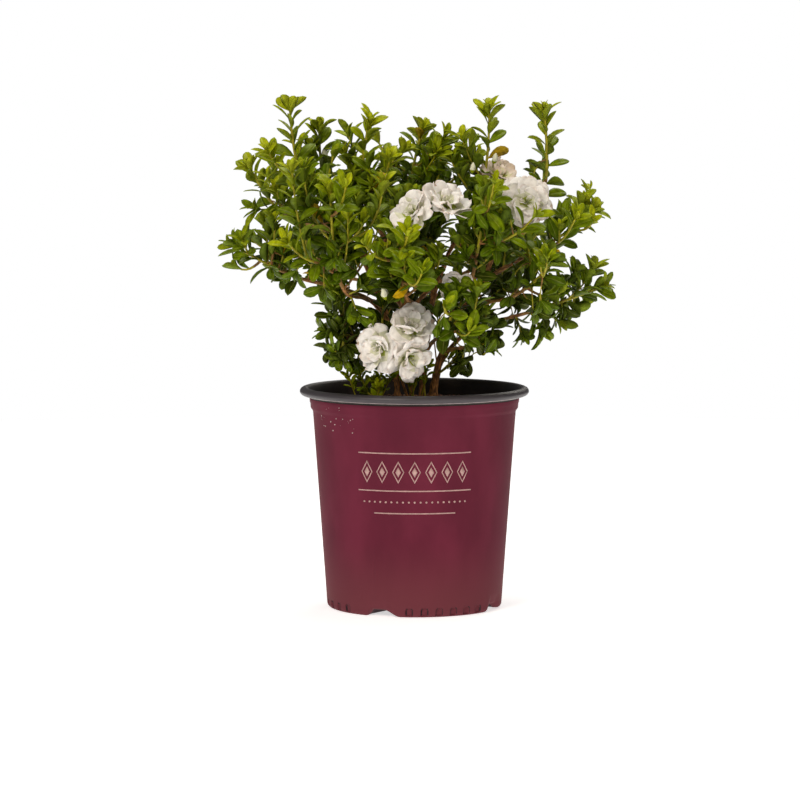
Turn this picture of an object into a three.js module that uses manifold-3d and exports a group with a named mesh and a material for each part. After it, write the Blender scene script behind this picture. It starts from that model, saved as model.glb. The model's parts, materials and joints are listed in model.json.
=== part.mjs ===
// An azalea shrub in a plastic nursery pot, in millimetres, +Z up.
// The origin is the centre of the pot's flat underside. -Y is the front, and +X is on the right from there.
import * as THREE from "three";
import { mergeVertices } from "three/addons/utils/BufferGeometryUtils.js";
import Module from "manifold-3d";

const wasm = await Module();
wasm.setup();

// The pot: a thin wall with a rolled lip, a collar under it, and four notches in its foot.
const POT_HEIGHT = 238;
const LIP_RADIUS = 123.6;
const LIP_HALF_WIDTH = 5.4;
const LIP_HALF_HEIGHT = 4.5;
const COLLAR_RADIUS = 113.2;
const COLLAR_FOOT_RADIUS = 111.8;
const BODY_TOP_RADIUS = 109.4;
const BODY_FOOT_RADIUS = 94.4;
const FOOT_CORNER = 5;
const COLLAR_HEIGHT = 13;
const STEP_HEIGHT = 3;
const WALL = 1.6;
const FLOOR = 2.4;
const POT_SEGMENTS = 40;
const NOTCH_COUNT = 4;
const NOTCH_START_DEG = -22;
const NOTCH_FOOT_WIDTH = 34;
const NOTCH_TOP_WIDTH = 18;
const NOTCH_HEIGHT = 8;
const NOTCH_DEPTH = 14;

// The potting mix fills the pot to just under the lip.
const SOIL_LEVEL = 223;
const SOIL_EDGE_DROP = 4;
const SOIL_FLAT_RADIUS = 62;

// Pieces that touch keep this gap, and a cut leaves no edge shorter than this.
const GAP = 0.3;
const SHORTEST_EDGE = 0.004;

// The wood.
const STEM_FOOT_RADIUS = 4.2;
const STEM_END_RADIUS = 2.1;
const BOUGH_FOOT_RADIUS = 2.7;
const BOUGH_END_RADIUS = 1.7;
const FLARE = 0.55;
const FLARE_FALL = 22;
const LIMB_SIDES = 6;
const LIMB_STEP = 44;
const LIMB_LEAN = 0.1;
const LIMB_RISE = 0.75;

// The crown: how far it reaches from the pot's axis, and how square its shoulders are.
const CROWN_CENTRE_X = 4;
const CROWN_HALF_WIDTH = 210;
const CROWN_HALF_DEPTH = 194;
const CROWN_WIDEST_LEVEL = 398;
const CROWN_RISE = 162;
const CROWN_SQUARENESS = 3.2;
const CROWN_FOOT_LEVEL = 258;
const CROWN_FOOT_SLOPE = 0.6;

// The foliage. Each leaf is twice the length of a real one and stands for several of them.
const SEED = 1907;
const TURN = Math.PI * 2;
const GOLDEN_TURN = 2.39996;
const AXIS_END_RADIUS = 1.5;
const AXIS_SIDES = 4;
const AXIS_STEPS = 4;
const AXIS_BEND = 0.3;
const TWIG_ROOT_RADIUS = 0.8;
const TWIG_RADIUS = 1.35;
const TWIG_END_RADIUS = 0.9;
const TWIG_SPACING = 12;
const TWIG_FIRST_SHARE = 0.1;
const TWIG_LAST_SHARE = 0.86;
const TWIG_LEAN = 0.3;
const TWIG_LIFT = 0.34;
const TWIG_OUT = 0.85;
const TWIG_BEND = 0.55;
const TWIG_FOOT_REACH = 1.2;
const TWIG_REACH_LOSS = 0.55;
const TWIG_SHORTEST = 0.8;
const TWIG_VARIATION = 0.3;
const TWIG_CUTS = [1, 0.8, 0.6];
const TWIG_CLEAR_START = 0.3;
const LEAF_LENGTH = 48;
const LEAF_WIDTH = 24;
const LEAF_THICKNESS = 1.5;
const LEAF_WIDEST = 0.58;
const LEAF_SPACING = 15;
const LEAF_BARE_SHARE = 0.38;
const AXIS_BARE_SHARE = 0.25;
const AXIS_KEY = 90;
const LEAF_ROOT = 0.4;
const LEAF_CLEAR_START = 0.12;
const LEAF_SHORTEST = 0.9;
const LEAF_VARIATION = 0.14;
const LEAF_OPEN_FOOT = 1.1;
const LEAF_OPEN_TIP = 0.62;
const LEAF_OPEN_END = 0.1;
const LEAF_END_SHARE = 0.86;
const LEAF_CUTS = [1, 0.8, 0.65];
const SPACE_MARGIN = 0.25;
const SPACE_CENTRE_SHARE = 0.55;

// The blooms: double, open cups. Each ring of an outline is a share of the bloom's radius, at a height that
// is a share of its depth, and its lobes are drawn in by the scallop.
const BLOOM_LOBES = 5;
const BLOOM_DEPTH = 0.62;
const BLOOM_RINGS = [
  { share: 0.2, height: -1, scallop: 0 },
  { share: 0.97, height: 0.25, scallop: 0.24 },
  { share: 0.62, height: 0.75, scallop: -0.2 },
  { share: 0.2, height: 0.2, scallop: 0 },
];
const BLOOM_ROOM_OWN = 0.3;
const BLOOM_ROOM_OTHER = 0.56;
const STALK_ROOTS = [0.1, 0.25, 0.4, 0.55, 0.7];
const STALK_DEPTH = 0.12;

// Each stem and bough, with the mass of foliage at its end. A stem names its foot on the potting mix. A bough
// names the limb that it leaves, and the share along it. end is where the foliage starts, tip is the
// furthest leaf, and spread is how far the side twigs reach.
const stem = (name, foot, end, tip, spread) => ({ name, foot, end, tip, spread });
const bough = (name, from, share, end, tip, spread) => ({ name, from, share, end, tip, spread });
const shoots = (name, foot, tip, spread) => ({ name, foot, tip, spread });
const GROWTH = [
  stem("left_top", [-18, -4], [-94, -8, 418], [-134, -14, 556], 56),
  stem("right_up", [20, -6], [122, -8, 380], [206, -14, 440], 56),
  stem("right_peak", [8, 3], [52, 4, 404], [80, 2, 554], 50),
  stem("middle_left_top", [-3, 16], [-44, 4, 416], [-44, -10, 541], 54),
  bough("left_low", "left_top", 0.36, [-104, -32, 352], [-209, -38, 402], 56),
  bough("left_middle", "left_top", 0.6, [-124, 22, 414], [-186, 26, 490], 54),
  bough("left_back_top", "left_top", 0.7, [-84, 44, 422], [-104, 62, 533], 52),
  bough("low_left", "left_top", 0.15, [-52, -30, 290], [-112, -48, 306], 48),
  bough("front_left", "left_top", 0.44, [-66, -72, 340], [-88, -128, 474], 60),
  bough("right_low", "right_up", 0.13, [102, -20, 314], [217, -30, 354], 54),
  bough("right_far_peak", "right_up", 0.74, [116, 10, 410], [137, 8, 551], 46),
  bough("low_right", "right_up", 0.2, [48, -34, 282], [96, -56, 290], 44),
  bough("front_right", "right_up", 0.5, [56, -62, 346], [78, -112, 474], 56),
  bough("right_front", "right_up", 0.36, [92, -48, 334], [156, -86, 388], 52),
  bough("right_inner", "right_up", 0.3, [66, 18, 322], [128, 46, 380], 50),
  bough("middle_top", "right_peak", 0.6, [4, 22, 412], [14, 28, 531], 54),
  bough("front_middle", "right_peak", 0.36, [-6, -84, 336], [-20, -152, 432], 60),
  bough("front_low", "right_peak", 0.2, [28, -70, 296], [46, -140, 360], 50),
  bough("bloom_cluster", "left_top", 0.1, [-22, -42, 272], [-52, -92, 322], 34),
  bough("back_left", "middle_left_top", 0.46, [-76, 70, 352], [-142, 132, 448], 62),
  bough("back_middle", "middle_left_top", 0.56, [-8, 84, 364], [-6, 182, 440], 62),
  bough("back_right", "middle_left_top", 0.38, [58, 68, 358], [124, 134, 456], 60),
  bough("back_top", "middle_left_top", 0.76, [2, 62, 424], [6, 98, 524], 54),
  bough("back_low", "middle_left_top", 0.26, [-6, 66, 306], [-24, 148, 332], 50),
  bough("centre", "middle_left_top", 0.5, [-6, -26, 348], [-4, -64, 464], 52),
  shoots("basal_shoots", [-40, -22], [-52, -34, 264], 20),
];

// Each bloom: the mass that it grows in, its centre, the way it faces and its width.
const BLOOMS = [
  { mass: "front_middle", at: [-4, -128, 428], faces: [-0.5, -0.6, 0.6], width: 52 },
  { mass: "front_right", at: [34, -108, 436], faces: [0.5, -0.6, 0.6], width: 54 },
  { mass: "right_far_peak", at: [120, -34, 438], faces: [0.05, -0.95, 0.25], width: 56 },
  { mass: "right_peak", at: [92, 10, 466], faces: [0.3, -0.5, 0.7], width: 46 },
  { mass: "bloom_cluster", at: [-38, -88, 286], faces: [-0.6, -0.8, -0.1], width: 54 },
  { mass: "bloom_cluster", at: [-3, -92, 309], faces: [0.2, -0.8, 0.5], width: 52 },
  { mass: "bloom_cluster", at: [-4, -96, 276], faces: [0.5, -0.8, -0.3], width: 52 },
  { mass: "front_right", at: [44, -88, 350], faces: [0.2, -0.9, -0.1], width: 42 },
  { mass: "back_left", at: [-104, 116, 404], faces: [-0.4, 0.8, 0.4], width: 54 },
  { mass: "back_right", at: [86, 118, 420], faces: [0.4, 0.8, 0.4], width: 54 },
  { mass: "back_middle", at: [-2, 148, 380], faces: [0.1, 0.9, 0.1], width: 52 },
];

const UP = new THREE.Vector3(0, 0, 1);
const vector = ([x, y, z]) => new THREE.Vector3(x, y, z);

// A number from 0 to 1 that depends only on the seed and these whole numbers.
function chance(...keys) {
  let h = SEED;
  for (const key of keys) {
    h = Math.imul(h ^ (key + 40503), 2246822507) >>> 0;
    h = (h ^ (h >>> 13)) >>> 0;
    h = Math.imul(h, 3266489909) >>> 0;
    h = (h ^ (h >>> 16)) >>> 0;
  }
  return h / 4294967296;
}

// A unit vector square to a direction, turned by an angle about it.
function sideways(direction, turn) {
  const reference = Math.abs(direction.z) < 0.9 ? UP : new THREE.Vector3(1, 0, 0);
  const across = new THREE.Vector3().crossVectors(reference, direction).normalize();
  const over = new THREE.Vector3().crossVectors(direction, across);
  return across.multiplyScalar(Math.cos(turn)).addScaledVector(over, Math.sin(turn));
}

// A closed geometry as a solid, once its shared vertices are merged.
function solid(geometry) {
  const bare = geometry.index ? geometry.toNonIndexed() : geometry.clone();
  bare.deleteAttribute("normal");
  bare.deleteAttribute("uv");
  const merged = mergeVertices(bare, 1e-4);
  const vertProperties = new Float32Array(merged.attributes.position.array);
  const triVerts = new Uint32Array(merged.index.array);
  return new wasm.Manifold(new wasm.Mesh({ numProp: 3, vertProperties, triVerts }));
}

// A solid as a geometry. Only its largest body is kept, so that no loose scrap is left by a cut.
function geometryOf(made) {
  const bodies = made.decompose();
  bodies.sort((a, b) => b.volume() - a.volume());
  const mesh = bodies[0].simplify(SHORTEST_EDGE).getMesh();
  const position = new Float32Array(mesh.numVert * 3);
  for (let i = 0; i < mesh.numVert; i += 1) {
    position.set(mesh.vertProperties.subarray(i * mesh.numProp, i * mesh.numProp + 3), i * 3);
  }
  const geometry = new THREE.BufferGeometry();
  geometry.setAttribute("position", new THREE.BufferAttribute(position, 3));
  geometry.setIndex(new THREE.BufferAttribute(new Uint32Array(mesh.triVerts), 1));
  return geometry.toNonIndexed();
}

// A closed tube along a curve, whose radius is a function of the share along it.
function taperedTube(curve, radiusAt, sides, steps) {
  const frames = curve.computeFrenetFrames(steps, false);
  const position = [];
  const index = [];
  for (let i = 0; i <= steps; i += 1) {
    const centre = curve.getPointAt(i / steps);
    const radius = radiusAt(i / steps);
    for (let j = 0; j < sides; j += 1) {
      const turn = (j / sides) * TURN;
      const point = centre.clone();
      point.addScaledVector(frames.normals[i], radius * Math.cos(turn));
      point.addScaledVector(frames.binormals[i], radius * Math.sin(turn));
      position.push(point.x, point.y, point.z);
    }
  }
  for (let i = 0; i < steps; i += 1) {
    for (let j = 0; j < sides; j += 1) {
      const a = i * sides + j;
      const b = i * sides + ((j + 1) % sides);
      index.push(a, b, b + sides, a, b + sides, a + sides);
    }
  }
  const last = steps * sides;
  for (let j = 1; j < sides - 1; j += 1) {
    index.push(0, j + 1, j, last, last + j, last + j + 1);
  }
  const geometry = new THREE.BufferGeometry();
  geometry.setAttribute("position", new THREE.Float32BufferAttribute(position, 3));
  geometry.setIndex(index);
  return geometry;
}

// A shape that is turned about the pot's axis, from the points of its outline as [radius, height].
function turned(outline, segments) {
  const points = outline.map(([radius, height]) => new THREE.Vector2(radius, height));
  return solid(new THREE.LatheGeometry(points, segments).rotateX(Math.PI / 2));
}

// The points of an arc of an ellipse in the outline's plane, from one angle to another in degrees.
function arc(centre, halfWidth, halfHeight, fromDeg, toDeg, steps) {
  return Array.from({ length: steps + 1 }, (_, i) => {
    const angle = THREE.MathUtils.degToRad(fromDeg + ((toDeg - fromDeg) * i) / steps);
    return [centre[0] + halfWidth * Math.cos(angle), centre[1] + halfHeight * Math.sin(angle)];
  });
}

const COLLAR_TOP = POT_HEIGHT - 2 * LIP_HALF_HEIGHT;
const COLLAR_FOOT = COLLAR_TOP - COLLAR_HEIGHT;
const STEP_FOOT = COLLAR_FOOT - STEP_HEIGHT;
const LIP_CENTRE = [LIP_RADIUS - LIP_HALF_WIDTH, POT_HEIGHT - LIP_HALF_HEIGHT];

// The pot's inside, less an inset, up to a height: the wall's inner face follows its outer one.
function insideOutline(inset, top) {
  const foot = BODY_FOOT_RADIUS - WALL - inset;
  return [
    [0, FLOOR + inset],
    [foot - FOOT_CORNER, FLOOR + inset],
    [foot, FLOOR + inset + FOOT_CORNER],
    ...top,
  ];
}

// A trapezoid that runs out through the foot of the wall, grown by an amount on every face.
function notch(turnDeg, grow) {
  const shape = new THREE.Shape();
  shape.moveTo(-NOTCH_FOOT_WIDTH / 2 - grow, -FOOT_CORNER);
  shape.lineTo(NOTCH_FOOT_WIDTH / 2 + grow, -FOOT_CORNER);
  shape.lineTo(NOTCH_FOOT_WIDTH / 2 + grow, 0);
  shape.lineTo(NOTCH_TOP_WIDTH / 2 + grow, NOTCH_HEIGHT + grow);
  shape.lineTo(-NOTCH_TOP_WIDTH / 2 - grow, NOTCH_HEIGHT + grow);
  shape.lineTo(-NOTCH_FOOT_WIDTH / 2 - grow, 0);
  const inner = BODY_FOOT_RADIUS - NOTCH_DEPTH - grow;
  const geometry = new THREE.ExtrudeGeometry(shape, { depth: LIP_RADIUS - inner, bevelEnabled: false });
  geometry.translate(0, 0, inner);
  geometry.rotateX(Math.PI / 2);
  geometry.rotateZ(THREE.MathUtils.degToRad(turnDeg));
  return solid(geometry);
}

function notches(grow) {
  const turns = Array.from({ length: NOTCH_COUNT }, (_, i) => NOTCH_START_DEG + (i * 360) / NOTCH_COUNT);
  return wasm.Manifold.union(turns.map((turn) => notch(turn, grow)));
}

function makePot() {
  const outside = turned(
    [
      [0, 0],
      ...arc([BODY_FOOT_RADIUS - FOOT_CORNER, FOOT_CORNER], FOOT_CORNER, FOOT_CORNER, -90, 0, 2),
      [BODY_TOP_RADIUS, STEP_FOOT],
      [COLLAR_FOOT_RADIUS, COLLAR_FOOT],
      [COLLAR_RADIUS, COLLAR_TOP],
      ...arc(LIP_CENTRE, LIP_HALF_WIDTH, LIP_HALF_HEIGHT, -100, 90, 5),
      [0, POT_HEIGHT],
    ],
    POT_SEGMENTS,
  );
  const inside = turned(
    insideOutline(0, [
      [BODY_TOP_RADIUS - WALL, STEP_FOOT],
      [COLLAR_FOOT_RADIUS - WALL, COLLAR_FOOT],
      [COLLAR_RADIUS - WALL, COLLAR_TOP + LIP_HALF_HEIGHT],
      [LIP_CENTRE[0] - LIP_HALF_WIDTH / 2, POT_HEIGHT - 1],
      [LIP_CENTRE[0], POT_HEIGHT + 1],
      [0, POT_HEIGHT + 1],
    ]),
    POT_SEGMENTS,
  );
  return outside.subtract(inside.subtract(notches(WALL))).subtract(notches(0));
}

function makeSoil() {
  const edge = SOIL_LEVEL - SOIL_EDGE_DROP;
  const heap = turned(
    insideOutline(GAP, [
      [BODY_TOP_RADIUS - WALL - GAP, STEP_FOOT],
      [COLLAR_FOOT_RADIUS - WALL - GAP, edge],
      [SOIL_FLAT_RADIUS, SOIL_LEVEL],
      [0, SOIL_LEVEL],
    ]),
    POT_SEGMENTS,
  );
  return heap.subtract(notches(WALL + GAP));
}

// A limb rises steeply from its start and bends out towards its end.
function limbCurve(start, end) {
  const middle = new THREE.Vector3(
    start.x + (end.x - start.x) * LIMB_LEAN,
    start.y + (end.y - start.y) * LIMB_LEAN,
    start.z + (end.z - start.z) * LIMB_RISE,
  );
  return new THREE.QuadraticBezierCurve3(start, middle, end);
}

// Each row's limb: its curve, radii and name. A mass of basal shoots has no limb of its own.
function makeLimbs() {
  const limbs = new Map();
  for (const row of GROWTH.filter((r) => r.end)) {
    const start = row.foot
      ? vector([...row.foot, SOIL_LEVEL + GAP])
      : limbs.get(row.from).curve.getPointAt(row.share);
    const curve = limbCurve(start, vector(row.end));
    const foot = row.foot ? STEM_FOOT_RADIUS : BOUGH_FOOT_RADIUS;
    const end = row.foot ? STEM_END_RADIUS : BOUGH_END_RADIUS;
    const flare = (share) => (row.foot ? 1 + FLARE * Math.exp(-share * FLARE_FALL) : 1);
    const radiusAt = (share) => (foot + (end - foot) * share) * flare(share);
    const name = (row.foot ? "stem_" : "bough_") + row.name;
    limbs.set(row.name, { row, name, curve, radiusAt, end });
  }
  return limbs;
}

const limbs = makeLimbs();

function limbSolid(limb, grow) {
  const steps = Math.max(4, Math.round(limb.curve.getLength() / LIMB_STEP));
  return solid(taperedTube(limb.curve, (share) => limb.radiusAt(share) + grow, LIMB_SIDES, steps));
}

// A stem's flare spreads on the potting mix, so its foot is cut flat there.
function cutFlat(made) {
  return made.trimByPlane([0, 0, 1], SOIL_LEVEL + GAP);
}

// A bough is cut clear of the limb that it leaves, and of the limbs made before it.
function limbSolids() {
  const made = new Map();
  for (const limb of limbs.values()) {
    let body = cutFlat(limbSolid(limb, 0));
    for (const other of made.values()) {
      body = body.subtract(other.cutter);
    }
    made.set(limb.row.name, { limb, body, cutter: limbSolid(limb, GAP) });
  }
  return made;
}

// The curve of a mass's own stem: it goes on the way that its bough ends, then turns towards its tip.
function axisCurve(row, reach) {
  const limb = limbs.get(row.name);
  const start = limb ? vector(row.end) : vector([...row.foot, SOIL_LEVEL + GAP]);
  const away = limb ? limb.curve.getTangentAt(1) : UP.clone();
  start.addScaledVector(away, limb ? GAP : 0);
  const tip = vector(row.tip);
  const length = start.distanceTo(tip);
  const middle = start.clone().addScaledVector(away, AXIS_BEND * length);
  const end = tip.clone().addScaledVector(tip.clone().sub(middle).normalize(), -reach);
  return new THREE.QuadraticBezierCurve3(start, middle, end);
}

// The crown's outline: a rounded box over its widest level, and a cone under it that opens from the pot.
function insideCrown(point) {
  const across = Math.abs(point.x - CROWN_CENTRE_X) / CROWN_HALF_WIDTH;
  const deep = Math.abs(point.y) / CROWN_HALF_DEPTH;
  const high = Math.max(0, point.z - CROWN_WIDEST_LEVEL) / CROWN_RISE;
  const underside = CROWN_FOOT_LEVEL + CROWN_FOOT_SLOPE * (Math.hypot(point.x, point.y) - LIP_RADIUS);
  if (point.z < underside) return false;
  return across ** CROWN_SQUARENESS + deep ** CROWN_SQUARENESS + high ** CROWN_SQUARENESS < 1;
}

// Each mass keeps to its own space: the points that are nearer to its centre than to any other's, where
// a mass with a wide spread counts as nearer.
const spaces = GROWTH.map((row) => {
  const start = vector(row.end ?? [...row.foot, SOIL_LEVEL]);
  const centre = start.lerp(vector(row.tip), SPACE_CENTRE_SHARE);
  return { name: row.name, centre, weight: row.spread ** 2 };
});

function inSpace(name, point, margin) {
  const own = spaces.find((space) => space.name === name);
  const ownPower = point.distanceToSquared(own.centre) - own.weight;
  return spaces.every((other) => {
    if (other === own) return true;
    const power = point.distanceToSquared(other.centre) - other.weight;
    return power - ownPower > 2 * margin * own.centre.distanceTo(other.centre);
  });
}

// How near a stretch from a to b comes to the stretch from c to d.
function stretchDistance(a, b, c, d) {
  const u = b.clone().sub(a);
  const v = d.clone().sub(c);
  const w = a.clone().sub(c);
  const uu = u.dot(u);
  const uv = u.dot(v);
  const vv = v.dot(v);
  const spread = Math.max(uu * vv - uv * uv, 1e-9);
  const clamp = THREE.MathUtils.clamp;
  let s = clamp((uv * v.dot(w) - vv * u.dot(w)) / spread, 0, 1);
  const t = clamp((uv * s + v.dot(w)) / vv, 0, 1);
  s = clamp((uv * t - u.dot(w)) / uu, 0, 1);
  return a.clone().addScaledVector(u, s).distanceTo(c.clone().addScaledVector(v, t));
}

// The limbs as short stretches, for the tests that keep the foliage clear of them.
const limbStretches = [...limbs.values()].flatMap((limb) => {
  const steps = 10;
  return Array.from({ length: steps }, (_, i) => ({
    a: limb.curve.getPointAt(i / steps),
    b: limb.curve.getPointAt((i + 1) / steps),
    radius: limb.radiusAt(i / steps),
  }));
});

// Over the pot, foliage keeps off the lip and the potting mix.
function clearOfPot(point) {
  const across = Math.hypot(point.x, point.y);
  if (across < LIP_CENTRE[0] - LIP_HALF_WIDTH - 5) return point.z > SOIL_LEVEL + 3;
  return across > LIP_RADIUS + 3 || point.z > POT_HEIGHT + 3;
}

function clearOfLimbs(a, b, radius) {
  return limbStretches.every((s) => stretchDistance(a, b, s.a, s.b) > radius + s.radius + GAP);
}

function clearOfBlooms(name, a, b, radius) {
  return BLOOMS.every((bloom) => {
    const centre = vector(bloom.at);
    const room = bloom.width * (bloom.mass === name ? BLOOM_ROOM_OWN : BLOOM_ROOM_OTHER);
    return stretchDistance(a, b, centre, centre.clone().add(UP)) > room + radius;
  });
}

// A twig is kept if it stays in its mass's space and touches no limb or bloom.
function twigFits(row, curve, radius) {
  const points = curve.getPoints(3);
  return points.every((point, i) => {
    if (!inSpace(row.name, point, radius + SPACE_MARGIN)) return false;
    if (!clearOfPot(point) || !insideCrown(point)) return false;
    if (i === 0) return true;
    const before = points[i - 1];
    const start = i === 1 ? before.clone().lerp(point, TWIG_CLEAR_START) : before;
    return clearOfLimbs(start, point, radius) && clearOfBlooms(row.name, start, point, radius);
  });
}

// The side twigs of a mass leave its stem one golden turn apart and bend upwards. One that would leave the
// space is tried shorter, then skipped.
function sideTwigs(row, key, axis) {
  const count = Math.round(row.spread / TWIG_SPACING) + 1;
  const twigs = [];
  for (let i = 0; i < count; i += 1) {
    const share = TWIG_FIRST_SHARE + ((TWIG_LAST_SHARE - TWIG_FIRST_SHARE) * (i + 0.5)) / count;
    const start = axis.getPointAt(share);
    const along = axis.getTangentAt(share);
    const out = sideways(along, i * GOLDEN_TURN + chance(key, i, 1));
    const size = TWIG_SHORTEST + TWIG_VARIATION * chance(key, i, 2);
    const full = row.spread * size * (TWIG_FOOT_REACH - TWIG_REACH_LOSS * share);
    for (const cut of TWIG_CUTS) {
      const reach = full * cut;
      const middle = start.clone().addScaledVector(out, reach * TWIG_BEND);
      middle.addScaledVector(along, (reach * TWIG_LEAN) / 2);
      const end = start.clone().addScaledVector(out, reach * TWIG_OUT);
      end.addScaledVector(along, reach * TWIG_LEAN).addScaledVector(UP, reach * TWIG_LIFT);
      const curve = new THREE.QuadraticBezierCurve3(start, middle, end);
      const tip = tipLeaf(curve, key, i);
      if (twigFits(row, curve, TWIG_RADIUS) && leafFits(row, tip)) {
        twigs.push({ curve, key: i });
        break;
      }
    }
  }
  return twigs;
}

// The four corners of a leaf's outline: its root, its tip and its two sides.
function leafPoints(leaf) {
  const across = new THREE.Vector3().crossVectors(leaf.face, leaf.along);
  const widest = leaf.root.clone().addScaledVector(leaf.along, leaf.length * LEAF_WIDEST);
  return [
    leaf.root,
    leaf.root.clone().addScaledVector(leaf.along, leaf.length),
    widest.clone().addScaledVector(across, leaf.width / 2),
    widest.clone().addScaledVector(across, -leaf.width / 2),
  ];
}

// A leaf is kept if it stays in its mass's space, and neither its midrib nor its edges touch a limb.
function leafFits(row, leaf) {
  const points = leafPoints(leaf);
  if (!points.every((p) => inSpace(row.name, p, LEAF_THICKNESS) && clearOfPot(p) && insideCrown(p))) {
    return false;
  }
  const [root, tip, left, right] = points;
  const start = root.clone().lerp(tip, LEAF_CLEAR_START);
  const edges = [[start, left], [left, tip], [start, right], [right, tip]];
  return (
    clearOfLimbs(start, tip, leaf.width / 4) &&
    edges.every(([a, b]) => clearOfLimbs(a, b, LEAF_THICKNESS)) &&
    clearOfBlooms(row.name, start, tip, leaf.width / 3)
  );
}

// A leaf that leaves a curve at a share of its length, opened from it by an angle towards a turn about it.
function leafAt(curve, share, turn, open, length) {
  const along = curve.getTangentAt(share);
  const out = sideways(along, turn);
  const direction = along.clone().multiplyScalar(Math.cos(open)).addScaledVector(out, Math.sin(open));
  const face = along.clone().addScaledVector(direction, -along.dot(direction)).normalize();
  const root = curve.getPointAt(share).addScaledVector(direction, -LEAF_ROOT);
  return { root, along: direction, face, length, width: (length * LEAF_WIDTH) / LEAF_LENGTH };
}

function tipLeaf(curve, key, twigKey) {
  return leafAt(curve, 1, TURN * chance(key, twigKey, 4), LEAF_OPEN_END, LEAF_LENGTH * LEAF_END_SHARE);
}

// Leaves stand round a twig one golden turn apart, more open at its foot than at its tip, and one ends it.
function leavesOn(row, curve, key, twigKey, bareShare) {
  const count = Math.max(2, Math.round((curve.getLength() * (1 - bareShare)) / LEAF_SPACING));
  const firstTurn = TURN * chance(key, twigKey, 3);
  const leaves = [tipLeaf(curve, key, twigKey)];
  for (let i = 0; i < count; i += 1) {
    const share = bareShare + ((1 - bareShare) * (i + 0.3)) / count;
    const open = THREE.MathUtils.lerp(LEAF_OPEN_FOOT, LEAF_OPEN_TIP, share);
    const full = LEAF_LENGTH * (LEAF_SHORTEST + LEAF_VARIATION * chance(key, twigKey, 10 + i));
    const turn = firstTurn + i * GOLDEN_TURN;
    const sizes = LEAF_CUTS.map((cut) => leafAt(curve, share, turn, open, full * cut));
    const fitting = sizes.find((leaf) => leafFits(row, leaf));
    if (fitting) leaves.push(fitting);
  }
  return leaves;
}

// A leaf is a flat eight-faced spindle, widest beyond its middle.
function leafSolid(leaf) {
  const geometry = new THREE.OctahedronGeometry(1);
  const position = geometry.attributes.position;
  for (let i = 0; i < position.count; i += 1) {
    const x = position.getX(i);
    const share = Math.abs(x) > 0.5 ? (x + 1) / 2 : LEAF_WIDEST;
    position.setX(i, share * leaf.length);
  }
  geometry.scale(1, leaf.width / 2, LEAF_THICKNESS / 2);
  const across = new THREE.Vector3().crossVectors(leaf.face, leaf.along);
  const placing = new THREE.Matrix4().makeBasis(leaf.along, across, leaf.face).setPosition(leaf.root);
  return solid(geometry.applyMatrix4(placing));
}

// A bloom is a cup with a scalloped edge, and a hollow throat between its rings of petals.
function bloomSolid(bloom) {
  const sides = BLOOM_LOBES * 2;
  const radius = bloom.width / 2;
  const depth = radius * BLOOM_DEPTH;
  const position = [];
  const index = [];
  BLOOM_RINGS.forEach((ring, i) => {
    for (let j = 0; j < sides; j += 1) {
      const turn = ((j + (i % 2) / 2) / sides) * TURN;
      const lobe = j % 2 === 0 ? 1 : 1 - ring.scallop;
      const r = radius * ring.share * lobe;
      position.push(r * Math.cos(turn), r * Math.sin(turn), ring.height * depth);
      if (i === 0) continue;
      const a = (i - 1) * sides + j;
      const b = (i - 1) * sides + ((j + 1) % sides);
      index.push(a, b, b + sides, a, b + sides, a + sides);
    }
  });
  const last = (BLOOM_RINGS.length - 1) * sides;
  for (let j = 1; j < sides - 1; j += 1) {
    index.push(0, j + 1, j, last, last + j, last + j + 1);
  }
  const geometry = new THREE.BufferGeometry();
  geometry.setAttribute("position", new THREE.Float32BufferAttribute(position, 3));
  geometry.setIndex(index);
  const turnTo = new THREE.Quaternion().setFromUnitVectors(UP, vector(bloom.faces).normalize());
  geometry.applyQuaternion(turnTo);
  return solid(geometry.translate(...bloom.at));
}

// A twig is thinnest inside its mass's stem and thickest in its middle.
function twigRadius(share) {
  if (share < 0.5) return THREE.MathUtils.lerp(TWIG_ROOT_RADIUS, TWIG_RADIUS, share * 2);
  return THREE.MathUtils.lerp(TWIG_RADIUS, TWIG_END_RADIUS, share * 2 - 1);
}

// A bloom's stalk leaves its mass's stem below the bloom and ends well inside its back.
function stalkSolid(bloom, axis) {
  const faces = vector(bloom.faces).normalize();
  const inside = vector(bloom.at).addScaledVector(faces, -bloom.width * STALK_DEPTH);
  const behind = vector(bloom.at).addScaledVector(faces, -bloom.width / 2);
  const starts = STALK_ROOTS.map((share) => axis.getPointAt(share));
  starts.sort((a, b) => a.distanceTo(inside) - b.distanceTo(inside));
  const middle = starts[0].clone().lerp(inside, 0.5).lerp(behind, 0.5);
  const curve = new THREE.QuadraticBezierCurve3(starts[0], middle, inside);
  return solid(taperedTube(curve, () => TWIG_RADIUS, 3, 2));
}

// One mass of foliage: its stem, its side twigs, their leaves and its blooms, fused.
function massSolid(row, key) {
  const limb = limbs.get(row.name);
  const axis = axisCurve(row, LEAF_LENGTH * LEAF_END_SHARE - LEAF_ROOT);
  const foot = limb ? limb.end : BOUGH_END_RADIUS;
  const radiusAt = (share) => foot + (AXIS_END_RADIUS - foot) * share;
  const twigs = sideTwigs(row, key, axis);
  const blooms = BLOOMS.filter((bloom) => bloom.mass === row.name);
  const parts = [solid(taperedTube(axis, radiusAt, AXIS_SIDES, AXIS_STEPS))];
  for (const twig of twigs) {
    parts.push(solid(taperedTube(twig.curve, twigRadius, 3, 2)));
  }
  const leaves = [
    ...leavesOn(row, axis, key, AXIS_KEY, AXIS_BARE_SHARE),
    ...twigs.flatMap((twig) => leavesOn(row, twig.curve, key, twig.key, LEAF_BARE_SHARE)),
  ];
  parts.push(...leaves.map(leafSolid));
  for (const bloom of blooms) {
    parts.push(bloomSolid(bloom), stalkSolid(bloom, axis));
  }
  return cutFlat(wasm.Manifold.union(parts));
}

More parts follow.
